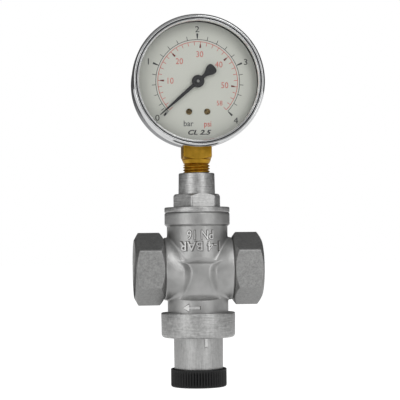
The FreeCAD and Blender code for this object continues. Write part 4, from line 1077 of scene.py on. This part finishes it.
def pointerOutline():
    # drawn along +X, then swung to its angle: a taper to the tip, and a tail that flares into a rounded paddle
    h = hand
    rootHalf, tipHalf = h["rootWidth"] / 2, h["tipWidth"] / 2
    t = np.linspace(0, 1, 12)
    flareX = -h["waist"] - t * (h["tail"] - h["waist"] - h["tailRounding"])
    flareZ = rootHalf - 0.05 + (h["tailWidth"] / 2 - rootHalf) * smooth(t, 0.1, 0.95)
    corner = np.linspace(0, np.pi / 2, 7)
    endX = -h["tail"] + h["tailRounding"] * (1 - np.sin(corner))
    endZ = h["tailWidth"] / 2 - h["tailRounding"] * (1 - np.cos(corner))
    upper = np.vstack([
        [[h["length"], 0.05], [h["length"] - 0.8, tipHalf], [11.0, rootHalf * 0.82], [0, rootHalf]],
        np.stack([flareX, flareZ], -1), np.stack([endX, endZ], -1)])
    lower = upper[::-1] * np.array([1, -1])
    outline = np.vstack([upper, lower])
    swing = math.radians(-(90 + h["angle"]))
    c, n = math.cos(swing), math.sin(swing)
    x = outline[:, 0] * c - outline[:, 1] * n
    z = outline[:, 0] * n + outline[:, 1] * c
    return np.stack([x, gaugeZ + z], -1)


def bevelled(piece, width):
    # edges sharper than 35 degrees get a narrow bevel
    bevel = piece.modifiers.new("edge", "BEVEL")
    bevel.width = width * millimetre
    bevel.segments = 2
    bevel.limit_method = "ANGLE"
    bevel.angle_limit = math.radians(35)


screwZ = (screwLow[2] + screwHigh[2]) / 2
screwX = (screwHigh[0] - screwLow[0]) / 2 - screwHead["radius"]
meshPiece("dialScrewHeads", [screwHeadGrid(-screwX, screwZ, 0.35), screwHeadGrid(screwX, screwZ, 1.1)], screwBrass,
          ["dial_screws"], sharp=50)
pointerPiece = meshPiece("pointerHand", [slab(pointerOutline(), pointerLow[1], pointerHigh[1])], pointerPaint,
                         ["pointer"], "pointer")
bevelled(pointerPiece, 0.12)
hubFront, hubBack = pointerLow[1], pointerHigh[1]
hubProfile = rounded([(hand["bore"], hubFront - 0.72), (1.05, hubFront - 0.72, 0.15), (1.15, hubFront - 0.4, 0.1),
                      (hand["ring"] - 0.35, hubFront - 0.4, 0.25), (hand["ring"], hubFront - 0.02, 0.1),
                      (hand["ring"], hubBack, 0.1), (1.0, hubBack + 0.6), (hand["bore"], hubBack + 0.6)])
meshPiece("pointerHub", [roundGauge(hubProfile, 96)], pointerPaint, ["pointer_hub"], "pointer")
print("pointer made")


# springs and the tube that bends

coil = {"wire": 2.2, "meanRadius": 7.8, "turns": 4.5, "pistonDrop": 2.7, "plateRise": 5.0}
springLow, springHigh = nodeBox("regulating_spring")


def coilPath(low, high, startTurn, turns):
    # one step round the axis for each step up it
    t = np.linspace(0, 1, 150)
    return upright(coil["meanRadius"], 2 * np.pi * (startTurn + turns * t), low + (high - low) * t)


springFoot, springTop = springLow[2], springHigh[2]
springMiddle = (springFoot + springTop) / 2
wireHalf = coil["wire"] / 2
halfTurns = coil["turns"] / 2
halves = (("lowerSpringHalf", springFoot + wireHalf, springMiddle, 0.0, "spring_plate_slide", coil["plateRise"]),
          ("upperSpringHalf", springMiddle, springTop - wireHalf, halfTurns, "piston_slide", coil["pistonDrop"]))
for name, low, high, startTurn, joint, travel in halves:
    path = coilPath(low, high, startTurn, halfTurns)
    half = meshPiece(name, [tube(path, wireHalf - 0.03, 14)], springSteel, ["regulating_spring"])
    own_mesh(half)

bourdon = {"meanRadius": 21.0, "half": 1.45, "halfWidth": 4.45, "middleY": 2.5, "start": -112.0, "sweep": 286.0,
           "around": 24, "steps": 140}


def bourdonGrid():
    # a flat-sided oval carried round most of a circle about the gauge's axis
    b = bourdon
    turn = ringAngles(b["around"])
    flat = b["halfWidth"] - b["half"]
    out = b["half"] * np.sign(np.cos(turn)) * np.abs(np.cos(turn)) ** 0.6
    along = b["half"] * np.sin(turn) + flat * np.sign(np.sin(turn)) * np.abs(np.sin(turn)) ** 0.7
    angle = np.radians(np.linspace(b["start"], b["start"] - b["sweep"], b["steps"]))[:, None]
    radius = b["meanRadius"] + out[None]
    y = b["middleY"] + along[None] + 0 * angle
    grid = np.stack([radius * np.cos(angle), y, gaugeZ + radius * np.sin(angle)], -1)
    caps = [row.mean(1, keepdims=True).repeat(b["around"], 1) for row in (grid[:1], grid[-1:])]
    return np.concatenate([caps[0], grid, caps[1]])


bourdonPiece = meshPiece("bourdonTube", [bourdonGrid()], phosphorBronze, ["bourdon_tube"], None)
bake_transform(bourdonPiece)
print("springs and tube made")


# finishes of the CAD nodes that stay

keptNodes = {
    yellowBrass: ["seat_ring", "valve_spindle", "valve_disc", "seal_nut", "piston", "spindle_nut", "adjusting_screw"],
    movementBrass: ["movement_front_plate", "movement_rear_plate", "movement_pillars", "sector_gear", "link",
                    "tube_end_piece", "hairspring_stud"],
    nitrile: ["plug_o_ring", "balance_o_ring", "valve_seal", "piston_o_ring", "window_gasket"],
    fibre: ["bonnet_gasket", "gauge_sealing_washer"],
    zincSteel: ["spring_plate", "thrust_washer", "knob_screw", "case_screws", "movement_screws", "stop_pin",
                "sector_arbor", "tail_pin", "tip_pin", "pinion_shaft"],
    phosphorBronze: ["hairspring"],
}
for finish, names in keptNodes.items():
    for name in names:
        for materialSlot in nodes[name].material_slots:
            materialSlot.material = finish
print("kept nodes finished")


# floor, light and camera

studio = {"level": 0.24, "overhead": 0.46, "behind": 0.075, "seen": 1.0, "floorSeen": 0.95, "floorMirrored": 0.55,
          "keyPower": 2.1, "fillPower": 1.4, "dialPower": 1.8}


def floorPiece():
    # a wide disc of backlit white paper just under the knob: a glow of its own over a dull white keeps it pale
    # to the horizon, and the glow is weaker in what the metal mirrors than in what the camera sees
    finish, tree, surface, where = newFinish("backlitPaper", Roughness=0.95)
    tooth = noise(tree, where, 6.0, 2.0)
    tree.links.new(blendColours(tree, tooth, "#bdbdbd", "#c1c1c1"), surface.inputs["Base Color"])
    surface.inputs["Emission Color"].default_value = (1, 1, 1, 1)
    seen = addNode(tree, "ShaderNodeLightPath").outputs["Is Camera Ray"]
    glow = spread(tree, seen, studio["floorMirrored"], studio["floorSeen"])
    tree.links.new(glow, surface.inputs["Emission Strength"])
    grid = turned([(0.0, 0.0), (600.0, 0.0), (6000.0, 0.0)], "z", 96, (0, 0, cadBox[0][2] / millimetre - 0.02))
    points = grid.reshape(-1, 3) * millimetre
    mesh = bpy.data.meshes.new("paperFloor")
    mesh.from_pydata(points.tolist(), [], gridFaces(3, 96, False, True).tolist())
    mesh.materials.append(finish)
    piece = bpy.data.objects.new("paperFloor", mesh)
    scene.collection.objects.link(piece)


def areaLight(name, azimuth, height, distance, width, tall, power, target=(0, 0, 0.03)):
    # a soft panel aimed at the valve; azimuth 0 is straight in front and grows towards the inlet
    lamp = bpy.data.lights.new(name, "AREA")
    lamp.shape = "RECTANGLE"
    lamp.size = width
    lamp.size_y = tall
    lamp.energy = power
    holder = bpy.data.objects.new(name, lamp)
    scene.collection.objects.link(holder)
    turn = math.radians(azimuth)
    holder.location = (distance * math.sin(turn), -distance * math.cos(turn), height)
    holder.rotation_euler = (Vector(target) - holder.location).to_track_quat("-Z", "Y").to_euler()


def studioAir():
    # white where the camera sees it; for the metal to mirror it is mid grey in front, lighter overhead, and dark
    # behind the valve, where it gives the polished bezel its dark edge
    air = bpy.data.worlds.new("studioAir")
    scene.world = air
    air.use_nodes = True
    tree = air.node_tree
    tree.nodes.clear()
    direction = addNode(tree, "ShaderNodeTexCoord").outputs["Generated"]
    parts = addNode(tree, "ShaderNodeSeparateXYZ", {0: direction})
    high = spread(tree, parts.outputs["Z"], studio["level"], studio["overhead"], 0.15, 0.85)
    back = spread(tree, parts.outputs["Y"], 1.0, studio["behind"] / studio["level"], -0.25, 0.4)
    level = addNode(tree, "ShaderNodeMath", {0: high, 1: back}, operation="MULTIPLY").outputs[0]
    mirrored = addNode(tree, "ShaderNodeBackground", {"Color": (1, 1, 1, 1), "Strength": level})
    seen = addNode(tree, "ShaderNodeBackground", {"Color": (1, 1, 1, 1), "Strength": studio["seen"]})
    path = addNode(tree, "ShaderNodeLightPath")
    mixed = addNode(tree, "ShaderNodeMixShader", {
        0: path.outputs["Is Camera Ray"], 1: mirrored.outputs[0], 2: seen.outputs[0]})
    addNode(tree, "ShaderNodeOutputWorld", {"Surface": mixed.outputs[0]})


floorPiece()
studioAir()
areaLight("keyPanel", -46, 0.16, 0.9, 0.5, 0.9, studio["keyPower"])
areaLight("fillPanel", 32, 0.12, 0.9, 0.4, 0.8, studio["fillPower"])
areaLight("dialPanel", 22, 0.72, 0.85, 0.45, 0.45, studio["dialPower"], (0, 0, 0.09))

view = {"distance": 680.0, "azimuth": -5.8, "height": 8.7, "aimX": 1.55, "aimZ": 33.5, "roll": -0.67, "width": 195.6}


def viewCamera():
    # the camera stands off by its distance at its azimuth, aims past the axis and rolls a little; the lens takes in
    # the width at that distance
    lens = bpy.data.cameras.new("camera")
    lens.sensor_width = 36.0
    lens.lens = 36.0 * view["distance"] / view["width"]
    lens.clip_end = 20.0
    camera = bpy.data.objects.new("camera", lens)
    scene.collection.objects.link(camera)
    turn = math.radians(view["azimuth"])
    at = Vector((math.sin(turn), -math.cos(turn), 0)) * view["distance"] + Vector((0, 0, view["height"]))
    aim = Vector((math.cos(turn), math.sin(turn), 0)) * view["aimX"] + Vector((0, 0, view["aimZ"]))
    camera.location = at * millimetre
    look = (aim - at).to_track_quat("-Z", "Y").to_matrix() @ Matrix.Rotation(math.radians(view["roll"]), 3, "Z")
    camera.rotation_euler = look.to_euler()
    scene.camera = camera


viewCamera()
scene.view_settings.view_transform = "Standard"
print("studio ready")
